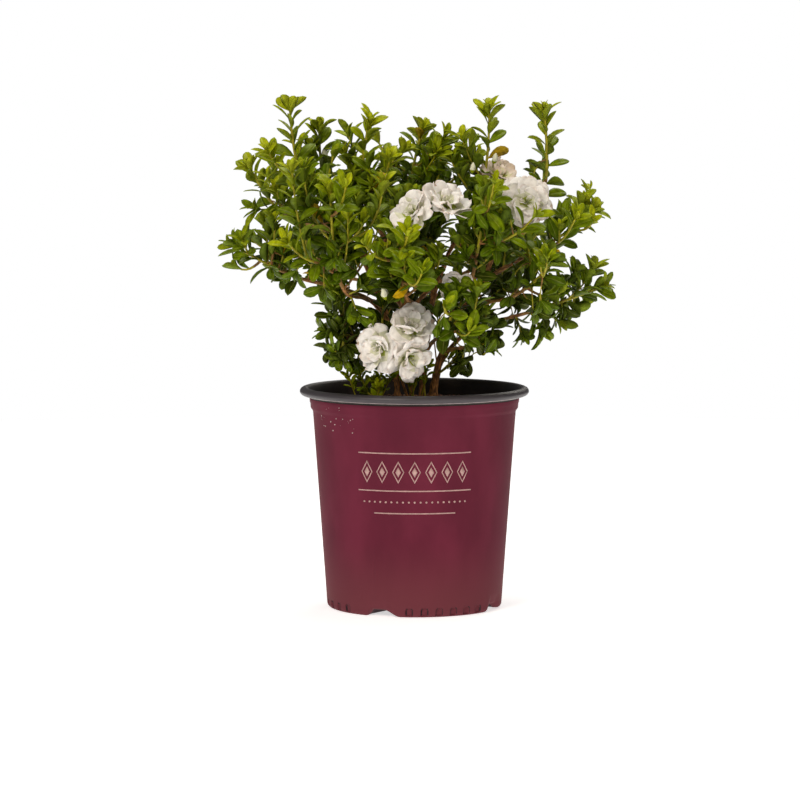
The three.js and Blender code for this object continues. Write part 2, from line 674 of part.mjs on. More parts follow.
const plastic = new THREE.MeshStandardMaterial({ color: 0x6e3241, roughness: 0.5, metalness: 0 });
const bark = new THREE.MeshStandardMaterial({ color: 0x5f4423, roughness: 0.85, metalness: 0 });
const leafGreen = new THREE.MeshStandardMaterial({ color: 0x4e6412, roughness: 0.45, metalness: 0 });
const pottingMix = new THREE.MeshStandardMaterial({ color: 0x2a1d16, roughness: 0.95, metalness: 0 });

const plant = new THREE.Group();

function add(name, made, material) {
  const mesh = new THREE.Mesh(geometryOf(made), material);
  mesh.name = name;
  plant.add(mesh);
}

add("pot", makePot(), plastic);
add("potting_mix", makeSoil(), pottingMix);
for (const { limb, body } of limbSolids().values()) {
  add(limb.name, body, bark);
}
GROWTH.forEach((row, key) => {
  add(`foliage_${row.name}`, massSolid(row, key), leafGreen);
});

export default plant;
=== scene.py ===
"""A small azalea with white double blooms, in the nursery pot that it stands in.

The file is laid out as an add-on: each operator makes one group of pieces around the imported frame, from
sizes and colours that the panel shows. The shrub grows here by the rule of the solids, with finer twigs.
"""

import functools
import json
import math
from collections import namedtuple
from enum import IntEnum

import bpy
import numpy as np
from bpy.props import FloatProperty, FloatVectorProperty, IntProperty, PointerProperty
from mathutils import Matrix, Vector, noise

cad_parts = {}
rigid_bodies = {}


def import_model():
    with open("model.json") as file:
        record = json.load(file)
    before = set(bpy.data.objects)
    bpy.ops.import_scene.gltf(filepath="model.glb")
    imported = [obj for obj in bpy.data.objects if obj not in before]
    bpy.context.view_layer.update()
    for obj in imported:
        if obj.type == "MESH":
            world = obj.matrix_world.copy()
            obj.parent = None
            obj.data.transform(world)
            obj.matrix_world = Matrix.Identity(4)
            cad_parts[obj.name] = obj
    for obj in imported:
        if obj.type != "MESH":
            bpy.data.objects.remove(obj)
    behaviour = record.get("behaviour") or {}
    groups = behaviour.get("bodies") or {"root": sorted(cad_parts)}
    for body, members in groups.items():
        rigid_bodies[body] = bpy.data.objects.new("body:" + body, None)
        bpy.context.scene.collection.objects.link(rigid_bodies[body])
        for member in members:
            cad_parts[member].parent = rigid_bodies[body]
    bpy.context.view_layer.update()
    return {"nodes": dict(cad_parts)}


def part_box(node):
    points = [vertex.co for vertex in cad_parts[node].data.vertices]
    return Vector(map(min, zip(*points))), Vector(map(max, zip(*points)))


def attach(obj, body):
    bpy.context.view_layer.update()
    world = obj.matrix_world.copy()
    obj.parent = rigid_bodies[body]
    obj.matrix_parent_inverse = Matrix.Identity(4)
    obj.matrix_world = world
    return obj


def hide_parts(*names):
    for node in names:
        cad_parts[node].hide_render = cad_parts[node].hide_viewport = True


bl_info = {
    "name": "Azalea in a Nursery Pot",
    "version": (1, 0, 0),
    "blender": (4, 5, 0),
    "location": "3D View > Sidebar > Azalea",
    "description": "Makes a potted azalea with its stems, twigs, leaves and blossom, and a plain stage",
    "category": "Add Mesh",
}

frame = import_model()

MM = 0.001
TURN = math.tau
GOLDEN_TURN = 2.39996
UP = Vector((0, 0, 1))
RIGHT = Vector((1, 0, 0))
NODES = list(frame["nodes"])
LIMB_NODES = [name for name in NODES if name.startswith(("stem_", "bough_"))]
FOLIAGE_NODES = [name for name in NODES if name.startswith("foliage_")]
POT_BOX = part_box("pot")
SOIL_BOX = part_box("potting_mix")

# The pot, in millimetres. Its height, its widest radius and the level of its filling come from the frame.
POT_HEIGHT = POT_BOX[1].z / MM
LIP_RADIUS = (POT_BOX[1].x - POT_BOX[0].x) / MM / 2
SOIL_LEVEL = SOIL_BOX[1].z / MM
SOIL_RADIUS = (SOIL_BOX[1].x - SOIL_BOX[0].x) / MM / 2
LIP_HALF_WIDTH = 5.4
LIP_HALF_HEIGHT = 4.5
LIP_CENTRE_RADIUS = LIP_RADIUS - LIP_HALF_WIDTH
LIP_CENTRE_LEVEL = POT_HEIGHT - LIP_HALF_HEIGHT
COLLAR_TOP = POT_HEIGHT - 2 * LIP_HALF_HEIGHT
COLLAR_FOOT = COLLAR_TOP - 13
STEP_FOOT = COLLAR_FOOT - 3
COLLAR_RADIUS = 113.2
COLLAR_FOOT_RADIUS = 111.8
BODY_TOP_RADIUS = 109.4
BODY_FOOT_RADIUS = 94.4
FOOT_CORNER = 5.0
WALL = 1.6

# The notches in the pot's foot, in degrees from each notch's middle, the small arches pressed in between
# them, and the mould's seam, in degrees from the front.
NOTCH_COUNT = 4
NOTCH_START_DEG = -22.4
NOTCH_HEIGHT = 7.2
NOTCH_STEEP_SIDE = (-12.5, -7.0)
NOTCH_GENTLE_SIDE = (0.5, 13.0)
NOTCH_FADES_LEVEL = 30.0
NOTCH_INNER_RADIUS = 16.0
NOTCH_SUNK = 1.8
NOTCH_SUNK_LEVEL = 16.0
ARCH_COUNTS = (6, 5)
ARCH_STEP_DEG = 9.9
ARCH_LEAN_DEG = -1.8
ARCH_HALF_WIDTH = 3.9
ARCH_HEIGHT = 10.5
ARCH_DEPTH = 2.0
ARCH_WALL_DROP = 0.5
ARCH_BEVEL = 0.3
SEAM_DEG = -26.0
SEAM_HALF_DEG = 0.7
SEAM_DEPTH = 0.3
SEAM_LEVELS = (14.0, 66.0)

# The wood of the solids, in millimetres.
STEM_RADII = (4.2, 2.1)
BOUGH_RADII = (2.7, 1.7)
FLARE = 0.55
FLARE_FALL = 22.0
LIMB_LEAN = 0.1
LIMB_RISE = 0.75
GAP = 0.3
LIMB_STEP = 3.0
FORK_SWELL = 0.55
FORK_FADE = 7.0
WANDER = 2.2
WANDER_LENGTH = 24.0
BURR = 0.2
BURR_LENGTH = 8.0

# The crown's outline, in millimetres: a rounded box over its widest level, and a cone under it.
CROWN_CENTRE_X = 4.0
CROWN_HALF_WIDTH = 210.0
CROWN_HALF_DEPTH = 194.0
CROWN_WIDEST_LEVEL = 398.0
CROWN_RISE = 162.0
CROWN_SQUARENESS = 3.2
CROWN_FOOT_LEVEL = 276.0
CROWN_FOOT_SLOPE = 0.92
CROWN_FOOT_TILT = 0.08
CROWN_LEAN = 0.12
CROWN_UPPER_SHIFT = 3.0
CROWN_UPPER_LOSS = 12.0
CROWN_UPPER_BLEND = 20.0
CROWN_SHOULDER_LEVEL = 476.0
CROWN_PEAK_SLOPE = 1.3
CROWN_MIDDLE = Vector((CROWN_CENTRE_X, 0, CROWN_WIDEST_LEVEL - 60))

# The peaks of the crown's outline from left to right, as the photo shows them: across, and level.
CROWN_PEAKS = (
    (-167, 508),
    (-134, 548),
    (-103, 528),
    (-68, 526),
    (-44, 534),
    (-8, 520),
    (12, 527),
    (34, 521),
    (57, 518),
    (80, 545),
    (137, 545),
)

# Where the photo shows sky through or beside the crown: middle across and level, half width, half height.
SKY_GAPS = (
    (104, 506, 22, 50),
    (-94, 513, 9, 26),
    (-28, 521, 7, 23),
    (192, 398, 30, 11),
    (92, 262, 38, 27),
    (-126, 306, 20, 20),
    (-178, 350, 22, 15),
    (30, 276, 9, 26),
    (166, 494, 20, 46),
    (-194, 456, 15, 14),
    (-163, 403, 10, 8),
    (212, 444, 18, 26),
    (204, 410, 14, 8),
    (204, 300, 22, 12),
    (155, 462, 14, 12),
    (140, 361, 15, 9),
    (112, 379, 13, 5),
    (147, 377, 12, 5),
    (118, 340, 15, 10),
    (111, 326, 11, 6),
    (45, 300, 7, 14),
)

# How a mass of foliage grows from the end of its limb, as in the solids.
SEED = 1907
AXIS_KEY = 90
LIMB_KEY = 91
AXIS_BEND = 0.3
SOLID_LEAF_LENGTH = 48.0
LEAF_END_SHARE = 0.86
TWIG_SPACING = 12.0
TWIG_FIRST_SHARE = 0.1
TWIG_LAST_SHARE = 0.86
TWIG_LEAN = 0.3
TWIG_LIFT = 0.34
TWIG_OUT = 0.85
TWIG_BEND = 0.55
TWIG_FOOT_REACH = 1.2
TWIG_REACH_LOSS = 0.55
TWIG_SHORTEST = 0.8
TWIG_VARIATION = 0.3
TWIG_CUTS = (1.0, 0.9, 0.8, 0.7, 0.6, 0.5)
SPACE_CENTRE_SHARE = 0.55

# The finer growth that the solids leave out. The keys number its shoots and leaves, for their random draws.
LEAF_KEY = 100
ROSETTE_KEY = 150
SHOOT_KEY = 200
SHOOTS_PER_TWIG = 17
FOOT_KEY = 400
SPUR_KEY = 5000
SPURS_PER_TWIG = 29
FILLING_KEY = 9000

# Twigs and shoots: the shares of their parent that carry them, the shares of their full reach that are tried,
# how far out and how high in the crown they go, and a shoot's middle and end: out, along its parent, and up.
TWIG_MIDDLE_LEAN = 0.15
TWIG_CROWN = 1.0
TWIG_TOP = (0.55, 0.86)
LEADER_SHOOTS = (0.2, 0.75)
TWIG_SHOOTS = (0.3, 0.92)
SHOOT_CUTS = (1.0, 0.8, 0.62, 0.46)
SHOOT_REACH = (44.0, 104.0)
SHOOT_CROWN = (0.76, 0.96)
SHOOT_TOP = (0.5, 0.9)
SHOOT_WAYS = ((0.36, 0.12, 0.16), (0.4, 0.2, 0.8))
SHOOT_MARKS = (0.3, 0.55, 0.8, 1)
SHOOT_CLEARANCE = 1.0
SHOOT_STEP = 5.0
TAN_SHARE = 0.3
PLACED_MIDDLE = 0.6
FOOT_SHOOT_SAG = 3.0
FILLING_MIDDLE_RISE = 0.35
BASAL_SUNK = 2.0

# Spurs, the short tufts inside the crown.
SPURS_FROM = 0.08
SPURS_TO = 0.7
SPURS_LEAST = 0.35
SPUR_SPACING_SHARE = 0.62
SPUR_REACH = (13.0, 28.0)
SPUR_OUT = 0.75
SPUR_BEND = 0.5
SPUR_LIFTS = (0.45, -0.6, 0.2)
LOW_SPUR_LIFTS = (0.2, -0.85, -0.5)
LOW_MASS_TIP = 400.0
SPUR_RADII = (0.8, 0.6)
SPUR_GREEN_FROM = 0.6
LIMB_BARE_SHARE = 0.55

# Each kind of shoot: its radii at foot and tip, the share from which it is green, and its leafless share.
Habit = namedtuple("Habit", "radii green_from bare")
LEADER = Habit((2.3, 1.3), 0.5, 0.2)
TWIG = Habit((1.65, 1.05), 0.45, 0.22)
SHOOT = Habit((1.3, 0.95), 0.0, 0.15)
FOOT_SHOOT = Habit((0.9, 0.7), 0.0, 0.3)
FILLING_SHOOT = Habit((1.2, 0.85), 0.0, 0.2)

# The room kept open round the limbs, the pot and the blooms.
LEAF_CLEARANCE = 0.5
LINING_CLEARANCE = 5.0
MIX_CLEARANCE = 2.0
LIP_CLEARANCE = 3.0
BLOOM_ROOM = 0.44
BLOOM_VIEW = 80.0
SMALL_BLOOM_VIEW = 4.0
BLOOM_CLEAR_WIDTH = 50.0

# How leaves stand on a shoot: from the youngest leaf, at its tip, to an old one.
LEAF_SIZES = (0.92, 1.14)
LEAF_ANGLES = (0.62, 1.2)
LEAF_SPACINGS = (0.72, 1.15)
LEADER_LEAF_SPACINGS = (0.56, 1.15)
LEAF_OLD_FROM = 60.0

# What varies from leaf to leaf, how a leaf turns its face, and the rosette at a shoot's tip.
LEAF_SIZE_SPREAD = (0.84, 1.12)
LEAF_ANGLE_SPREAD = 0.36
LEAF_LIFT = 0.08
LEAF_STALK_SHARE = 0.25
LEAF_SUNK = 0.5
FIRST_LEAF = 2.5
LEADER_LEAF_SIZE = 1.02
BASAL_LEAF_SIZE = 0.58
FACE_OUTSIDE = 0.5
FACE_UP = 0.35
FACE_ROLL = 0.6
LEADER_ROLL = 1.6
ROSETTE_REACH = 0.8
ROSETTE_ANGLES = (0.95, 0.8, 0.62, 0.42, 0.2)
ROSETTE_SIZES = (0.94, 0.88, 0.8, 0.66, 0.5)
ROSETTE_FOOT = 3.0
ROSETTE_STEP = 0.7
ROSETTE_TILT_SPREAD = 0.24

# The light on a leaf, which sets its tint and shape: 0 in the dark inside, over 1 at the brightest tips. The
# tint is partly the leaf's own age and partly painted shade: leaves low and deep in the crown are given
# darker tints.
LIGHT_BY_HEIGHT = 0.56
LIGHT_FULL_HEIGHT = 300.0
LIGHT_BY_DEPTH = 0.34
LIGHT_SPREAD = 0.3
BASAL_LIGHT = 0.66
ROSETTE_LIGHT = 0.2
ROSETTE_LIGHT_STEP = 0.03
YOUNG_LIGHT = 0.12
OLD_LIGHT_LOSS = 0.42
NARROW_FROM_LIGHT = 0.78
TINT_LIGHTS = {"lime": 1.06, "spring": 0.86, "mid": 0.62, "deep": 0.42}
TURNING_SHARE = 0.008

# Each stem, bough and tuft of shoots, with the mass of foliage at its end, as in the solids: a stem's foot,
# or a bough's parent and its share along it, then where the foliage starts, its furthest leaf, and its
# spread.
Growth = namedtuple("Growth", "name foot share end tip spread")
GROWTH = tuple(
    Growth(*row)
    for row in (
        ("left_top", (-18, -4), None, (-94, -8, 418), (-134, -14, 556), 56),
        ("right_up", (20, -6), None, (122, -8, 380), (206, -14, 440), 56),
        ("right_peak", (8, 3), None, (52, 4, 404), (80, 2, 554), 50),
        ("middle_left_top", (-3, 16), None, (-44, 4, 416), (-44, -10, 541), 54),
        ("left_low", "left_top", 0.36, (-104, -32, 352), (-209, -38, 402), 56),
        ("left_middle", "left_top", 0.6, (-124, 22, 414), (-186, 26, 490), 54),
        ("left_back_top", "left_top", 0.7, (-84, 44, 422), (-104, 62, 533), 52),
        ("low_left", "left_top", 0.15, (-52, -30, 290), (-112, -48, 306), 48),
        ("front_left", "left_top", 0.44, (-66, -72, 340), (-88, -128, 474), 60),
        ("right_low", "right_up", 0.13, (102, -20, 314), (217, -30, 354), 54),
        ("right_far_peak", "right_up", 0.74, (116, 10, 410), (137, 8, 551), 46),
        ("low_right", "right_up", 0.2, (48, -34, 282), (96, -56, 290), 44),
        ("front_right", "right_up", 0.5, (56, -62, 346), (78, -112, 474), 56),
        ("right_front", "right_up", 0.36, (92, -48, 334), (156, -86, 388), 52),
        ("right_inner", "right_up", 0.3, (66, 18, 322), (128, 46, 380), 50),
        ("middle_top", "right_peak", 0.6, (4, 22, 412), (14, 28, 531), 54),
        ("front_middle", "right_peak", 0.36, (-6, -84, 336), (-20, -152, 432), 60),
        ("front_low", "right_peak", 0.2, (28, -70, 296), (46, -140, 360), 50),
        ("bloom_cluster", "left_top", 0.1, (-22, -42, 272), (-52, -92, 322), 34),
        ("back_left", "middle_left_top", 0.46, (-76, 70, 352), (-142, 132, 448), 62),
        ("back_middle", "middle_left_top", 0.56, (-8, 84, 364), (-6, 182, 440), 62),
        ("back_right", "middle_left_top", 0.38, (58, 68, 358), (124, 134, 456), 60),
        ("back_top", "middle_left_top", 0.76, (2, 62, 424), (6, 98, 524), 54),
        ("back_low", "middle_left_top", 0.26, (-6, 66, 306), (-24, 148, 332), 50),
        ("centre", "middle_left_top", 0.5, (-6, -26, 348), (-4, -64, 464), 52),
        ("basal_shoots", (-40, -22), None, None, (-52, -34, 264), 20),
    )
)

BASAL_MASS = len(GROWTH) - 1

# Each bloom: its mass, its centre, the way that it faces, its width, and whether it has faded.
Bloom = namedtuple("Bloom", "mass at faces width faded")
BLOOMS = tuple(
    Bloom(*row)
    for row in (
        ("front_middle", (-4, -128, 430), (-0.6, -0.6, 0.5), 55, 0),
        ("front_right", (34, -108, 440), (0.4, -0.45, 0.8), 58, 0),
        ("right_far_peak", (120, -38, 438), (0.05, -0.97, 0.2), 60, 0),
        ("right_peak", (92, 10, 466), (0.3, -0.5, 0.7), 46, 1),
        ("bloom_cluster", (-38, -88, 286), (-0.6, -0.8, -0.1), 54, 0),
        ("bloom_cluster", (-3, -92, 309), (0.2, -0.8, 0.5), 52, 0),
        ("bloom_cluster", (-4, -96, 276), (0.5, -0.8, -0.3), 52, 0),
        ("front_right", (44, -88, 350), (0.2, -0.9, -0.1), 38, 0),
        ("back_left", (-104, 116, 404), (-0.4, 0.8, 0.4), 54, 0),
        ("back_right", (86, 118, 420), (0.4, 0.8, 0.4), 54, 1),
        ("back_middle", (-2, 148, 380), (0.1, 0.9, 0.1), 52, 0),
    )
)

# The upper faces of the leaves, from the bright tips to the shaded inside; the darker tints are partly
# painted shade.
LEAF_TINTS = {
    "lime": "#9ba20a",
    "spring": "#818d08",
    "mid": "#627404",
    "deep": "#485c04",
    "dark": "#303c04",
    "turning": "#b08c08",
}


class Draw(IntEnum):
    """What each random draw is for. The numbers keep the draws apart."""

    TWIG_TURN = 1
    TWIG_SIZE = 2
    ROSETTE_TILT = 2
    FIRST_TURN = 3
    SIDE = 5
    REACH = 6
    LIGHT = 7
    LEAF_SHAPE = 8
    TURNING = 9
    LEAF_SIZE = 10
    ROLL = 11
    DEPTH = 12
    TOP = 13
    LEAF_ANGLE = 40
    HALF_WIDTH = 51
    FOLD = 52
    CURL = 53
    BEND = 54
    TWIST = 55
    PETAL_TURN = 60
    PETAL_LENGTH = 61
    PETAL_WIDTH = 62
    PETAL_OPENING = 63
    PETAL_FOLD = 64
    PETAL_RUFFLE = 65
    PETAL_PHASE = 66
    PETAL_TWIST = 67
    BRUISED = 68
    BRUISE_PLACE = 69
    SPOT_ACROSS = 71
    SPOT_LEVEL = 72
    SPOT_SIZE = 73
    STAMEN_LEAN = 77
    FLAKE_TURN = 81
    FLAKE_REACH = 82
    FLAKE_LIFT = 83


def chance(*keys):
    """A number from 0 to 1 that depends only on the seed and these whole numbers, by an integer hash."""
    mask = 0xFFFFFFFF
    h = SEED
    for key in keys:
        h = ((h ^ (key + 40503)) * 2246822507) & mask
        h ^= h >> 13
        h = (h * 3266489909) & mask
        h ^= h >> 16
    return h / (mask + 1)


def between(low, high, share):
    return low + (high - low) * share


def ease(share):
    """A share from 0 to 1 that starts and ends gently."""
    share = min(1.0, max(0.0, share))
    return share * share * (3 - 2 * share)


def linear(hex_colour):
    """An sRGB hex colour as the linear colour that a shader socket takes."""
    channels = [int(hex_colour[i : i + 2], 16) / 255 for i in (1, 3, 5)]
    return (*[c / 12.92 if c <= 0.04045 else ((c + 0.055) / 1.055) ** 2.4 for c in channels], 1.0)


def sideways(direction, turn):
    """A unit vector square to a direction, turned by an angle about it."""
    reference = UP if abs(direction.z) < 0.9 else RIGHT
    across = reference.cross(direction).normalized()
    over = direction.cross(across)
    return across * math.cos(turn) + over * math.sin(turn)


def add_node(tree, kind, settings=None, inputs=None):
    """A new node with its settings. Its inputs are values, sockets, or nodes, whose first output is used."""
    node = tree.nodes.new(kind)
    for name, value in (settings or {}).items():
        setattr(node, name, value)
    sockets = {socket.identifier: socket for socket in node.inputs}
    for key, value in (inputs or {}).items():
        socket = sockets[key] if key in sockets else node.inputs[key]
        if isinstance(value, bpy.types.Node):
            value = value.outputs[0]
        if isinstance(value, bpy.types.NodeSocket):
            tree.links.new(value, socket)
        else:
            socket.default_value = value
    return node


def geometry_tree(name, inputs, materials):
    """Starts a geometry node tree with one geometry and these named inputs, and gives its input sockets."""
    tree = bpy.data.node_groups.new(name, "GeometryNodeTree")
    kinds = {"Geometry": "Geometry", **inputs, **dict.fromkeys(materials, "Material")}
    for label, kind in kinds.items():
        tree.interface.new_socket(label, in_out="INPUT", socket_type="NodeSocket" + kind)
    tree.interface.new_socket("Geometry", in_out="OUTPUT", socket_type="NodeSocketGeometry")
    return tree, tree.nodes.new("NodeGroupInput").outputs


def finish_tree(tree, given, geometry, materials):
    """Ends a tree: instances made real, and a material for each part number that the shape carries."""
    geometry = add_node(tree, "GeometryNodeRealizeInstances", inputs={"Geometry": geometry})
    part = named_value(tree, "part", "INT")
    equal = {"data_type": "INT", "operation": "EQUAL"}
    for number, label in enumerate(materials):
        same = add_node(tree, "FunctionNodeCompare", equal, {"A_INT": part, "B_INT": number})
        inputs = {"Geometry": geometry, "Selection": same, "Material": given[label]}
        geometry = add_node(tree, "GeometryNodeSetMaterial", inputs=inputs)
    add_node(tree, "NodeGroupOutput", inputs={"Geometry": geometry})


def named_value(tree, label, kind):
    """The value of this name that each point carries."""
    return add_node(tree, "GeometryNodeInputNamedAttribute", {"data_type": kind}, {"Name": label})


def vector_math(tree, operation, inputs):
    return add_node(tree, "ShaderNodeVectorMath", {"operation": operation}, inputs)


def pattern_shapes(tree, collection):
    """The small shapes of a collection, ready to be picked one by one."""
    inputs = {"Collection": collection, "Separate Children": True, "Reset Children": True}
    return add_node(tree, "GeometryNodeCollectionInfo", inputs=inputs)


def plain_mesh(piece):
    """Turns an object with modifiers into a plain mesh, and removes the modifiers."""
    graph = bpy.context.evaluated_depsgraph_get()
    mesh = bpy.data.meshes.new_from_object(piece.evaluated_get(graph), depsgraph=graph)
    piece.modifiers.clear()
    old = piece.data
    piece.data = mesh
    bpy.data.meshes.remove(old)
    mesh.name = piece.name
    return piece


def run_tree(piece, tree, values):
    """Runs a geometry node tree on an object with its inputs set, and keeps the result as a mesh."""
    modifier = piece.modifiers.new(tree.name, "NODES")
    modifier.node_group = tree
    for item in tree.interface.items_tree:
        if item.in_out == "INPUT" and item.name in values:
            modifier[item.identifier] = values[item.name]
    plain_mesh(piece)
    piece.data.polygons.foreach_set("use_smooth", np.ones(len(piece.data.polygons), dtype=bool))
    return piece


def add_object(name, data):
    """A new object in the scene."""
    made = bpy.data.objects.new(name, data)
    bpy.context.scene.collection.objects.link(made)
    return made


def tube_faces(first, rings, sides):
    """The faces of a closed tube of rings of points, from its first point on: its walls, then its ends."""
    walls = []
    for i in range(rings - 1):
        for j in range(sides):
            a, b = first + i * sides + j, first + i * sides + (j + 1) % sides
            walls.append((a, b, b + sides, a + sides))
    last = first + (rings - 1) * sides
    return [*walls, tuple(range(first + sides - 1, first - 1, -1)), tuple(range(last, last + sides))]


def new_piece(name, vertices, faces=(), edges=(), materials=(), parts=None, attributes=None):
    """A mesh object at the origin from points in millimetres, with part numbers as its materials."""
    mesh = bpy.data.meshes.new(name)
    mesh.from_pydata((np.asarray(vertices, dtype=float) * MM).tolist(), edges, faces)
    for material in materials:
        mesh.materials.append(material)
    if parts is not None:
        mesh.polygons.foreach_set("material_index", np.asarray(parts, dtype=np.int32))
    for label, (kind, values) in (attributes or {}).items():
        field = "vector" if kind == "FLOAT_VECTOR" else "value"
        array = np.asarray(values, dtype=np.int32 if kind == "INT" else np.float32)
        mesh.attributes.new(label, kind, "POINT").data.foreach_set(field, array.ravel())
    mesh.polygons.foreach_set("use_smooth", np.ones(len(mesh.polygons), dtype=bool))
    mesh.update()
    return add_object(name, mesh)


def place(piece, slot, nodes):
    """Hands a finished piece to the frame: it rides on the only body and stands for these solids."""
    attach(piece, "root")
    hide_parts(*nodes)


# Materials

EYE_GAMMA = 2.2
TONE_STOPS = (0.32, 0.5, 0.68)
# Up to this height the pot's foot is painted paler: dust, and bounce light from the pale floor.
DUST_AND_BOUNCE_TOP = 90.0


def new_material(name, settings):
    """A material with its shader's own sockets set; gives it with its node tree and its shader."""
    material = bpy.data.materials.new(name)
    material.use_nodes = True
    shader = material.node_tree.nodes["Principled BSDF"]
    for socket, value in settings.items():
        shader.inputs[socket].default_value = value
    return material, material.node_tree, shader


def shade(colour, factor):
    """The same hue, lighter or darker to the eye by a factor."""
    return (*[min(1.0, c * factor**EYE_GAMMA) for c in colour[:3]], 1.0)


def tones(colour, darkest, lightest):
    """A colour with a darker and a lighter tone of it, for a surface that varies by that much."""
    return shade(colour, darkest), colour, shade(colour, lightest)


def blend(colour, other, share):
    """A colour moved towards another by a share."""
    return (*[between(a, b, share) for a, b in zip(colour[:3], other[:3])], 1.0)


def mottle(tree, shader, colours, patch_mm, source="Object", stretch=(1, 1, 1), detail=3.0):
    """Lays three tones over a surface in soft patches of a real size, and gives their mapping for relief."""
    if source == "Object":
        point = add_node(tree, "ShaderNodeTexCoord").outputs["Object"]
    else:
        point = add_node(tree, "ShaderNodeAttribute", {"attribute_name": source}).outputs["Vector"]
    mapping = add_node(tree, "ShaderNodeMapping", inputs={"Vector": point, "Scale": stretch})
    inputs = {"Vector": mapping, "Scale": 1 / (patch_mm * MM), "Detail": detail}
    pattern = add_node(tree, "ShaderNodeTexNoise", inputs=inputs)
    ramp = add_node(tree, "ShaderNodeValToRGB", inputs={"Fac": pattern})
    stops = ramp.color_ramp.elements
    stops.new(0.5)
    for stop, position, colour in zip(stops, TONE_STOPS, colours):
        stop.position = position
        stop.color = colour
    tree.links.new(ramp.outputs["Color"], shader.inputs["Base Color"])
    return mapping


def relief(tree, shader, vector, grain_mm, depth_mm, detail=2.0):
    """Adds fine relief of a real size and depth to a surface."""
    inputs = {"Vector": vector, "Scale": 1 / (grain_mm * MM), "Detail": detail}
    grain = add_node(tree, "ShaderNodeTexNoise", inputs=inputs)
    inputs = {"Height": grain, "Distance": depth_mm * MM, "Strength": 1.0}
    bump = add_node(tree, "ShaderNodeBump", inputs=inputs)
    tree.links.new(bump.outputs["Normal"], shader.inputs["Normal"])


def surface(name, settings, colours, patch_mm, grain, **pattern):
    """A material in three tones with fine relief, whose grain is its size, its depth and its detail."""
    material, tree, shader = new_material(name, settings)
    relief(tree, shader, mottle(tree, shader, colours, patch_mm, **pattern), *grain)
    return material


@functools.cache
def leaf_materials(tint, upper):
    """Living leaf, waxy above: gives soft broad highlights, a paler midrib and a dull pale underside."""
    looks = (
        ("upper_face", upper, 0.38),
        ("midrib", blend(upper, linear("#d8d470"), 0.15), 0.42),
        ("underside", blend(upper, linear("#8a9450"), 0.15), 0.65),
    )
    made = []
    for part, colour, roughness in looks:
        settings = {
            "Roughness": roughness,
            "IOR": 1.45,
            "Specular IOR Level": 0.32,
            "Specular Tint": linear("#cdd474"),
            "Subsurface Weight": 0.1,
            "Subsurface Radius": (0.5, 1.0, 0.15),
            "Subsurface Scale": 0.8 * MM,
        }
        colours = tones(colour, 0.86, 1.14)
        made.append(surface(f"leaf_{tint}_{part}", settings, colours, 5.0, (2.6, 0.05)))
    return made


@functools.cache
def wood_materials(old, tan, green):
    """Azalea wood by age: grey-brown bark, reddish tan second-year wood, and green skin on young shoots."""
    made = []
    looks = (("old_bark", old, 0.6, 0.8), ("tan_bark", tan, 0.75, 0.65), ("green_shoot", green, 0.84, 0.5))
    for name, colour, darkest, roughness in looks:
        settings = {"Roughness": roughness, "IOR": 1.45}
        grain = {"source": "bark", "stretch": (1, 1, 0.3)}
        colours = tones(colour, darkest, 2 - darkest)
        made.append(surface(name, settings, colours, 1.8, (0.9, 0.35, 4.0), **grain))
    return made


@functools.cache
def petal_materials(stage, blade, throat):
    """Azalea petals, thin and silky: give a soft glow, and fade from green-yellow throats to white."""
    looks = {
        "throat": throat,
        "base": blend(throat, blade, 0.62),
        "blade": blade,
        "edge": blend(blade, linear("#cfae9c"), 0.3),
        "bruise": blend(blade, linear("#9a6a3c"), 0.65),
    }
    settings = {
        "Roughness": 0.55,
        "IOR": 1.4,
        "Subsurface Weight": 0.35,
        "Subsurface Radius": (1.0, 0.95, 0.85),
        "Subsurface Scale": 1.5 * MM,
        "Sheen Weight": 0.15,
    }
    return [
        surface(f"petal_{stage}_{part}", settings, tones(colour, 0.93, 1.04), 6.0, (1.6, 0.3))
        for part, colour in looks.items()
    ]


def pot_materials(settings):
    """Blow-moulded polyethylene in two layers, satin outside and black inside, with a dusty rolled lip."""
    plastic = settings.plastic_colour[:]
    satin = {
        "Roughness": 0.6,
        "IOR": 1.5,
        "Specular IOR Level": 0.06,
        "Sheen Weight": 0.08,
        "Sheen Roughness": 0.4,
        "Sheen Tint": linear("#a8642c"),
    }
    colours = tones(plastic, 0.93, 1.1)
    skin = surface(
        "moulded_polyethylene_skin", satin, colours, 46.0, (1.3, 0.05), stretch=(1, 1, 0.5), detail=6.0
    )
    # The foot's paler tint is dust and painted bounce light from the floor.
    dust_and_floor_bounce(skin.node_tree, blend(plastic, linear("#a87468"), 0.12))
    looks = {"Roughness": 0.5, "IOR": 1.5, "Specular IOR Level": 0.25}
    colours = tones(settings.lining_colour[:], 0.7, 1.35)
    black = surface("moulded_polyethylene_lining", looks, colours, 24.0, (1.3, 0.06), detail=6.0)
    looks = {"Roughness": 0.44, "IOR": 1.5}
    colours = tones(settings.lip_colour[:], 0.94, 1.06)
    lip = surface("dusty_polyethylene_lip", looks, colours, 14.0, (1.0, 0.05), detail=6.0)
    # A pale band along the lip's lower edge, painted as its highlight.
    looks = {"Roughness": 0.6, "IOR": 1.5}
    colours = tones(settings.lip_edge_highlight_colour[:], 0.8, 1.12)
    edge = surface("scuffed_polyethylene_edge", looks, colours, 5.0, (0.8, 0.06), detail=6.0)
    # A darker plastic for the walls of the pressed arches and the pot's underside: dirt, and painted shade in
    # these recesses.
    colours = tones(shade(plastic, 0.55), 0.85, 1.15)
    shade_and_dirt = surface("dirt_on_polyethylene", {"Roughness": 0.8}, colours, 3.0, (0.8, 0.1))
    return skin, black, lip, edge, shade_and_dirt


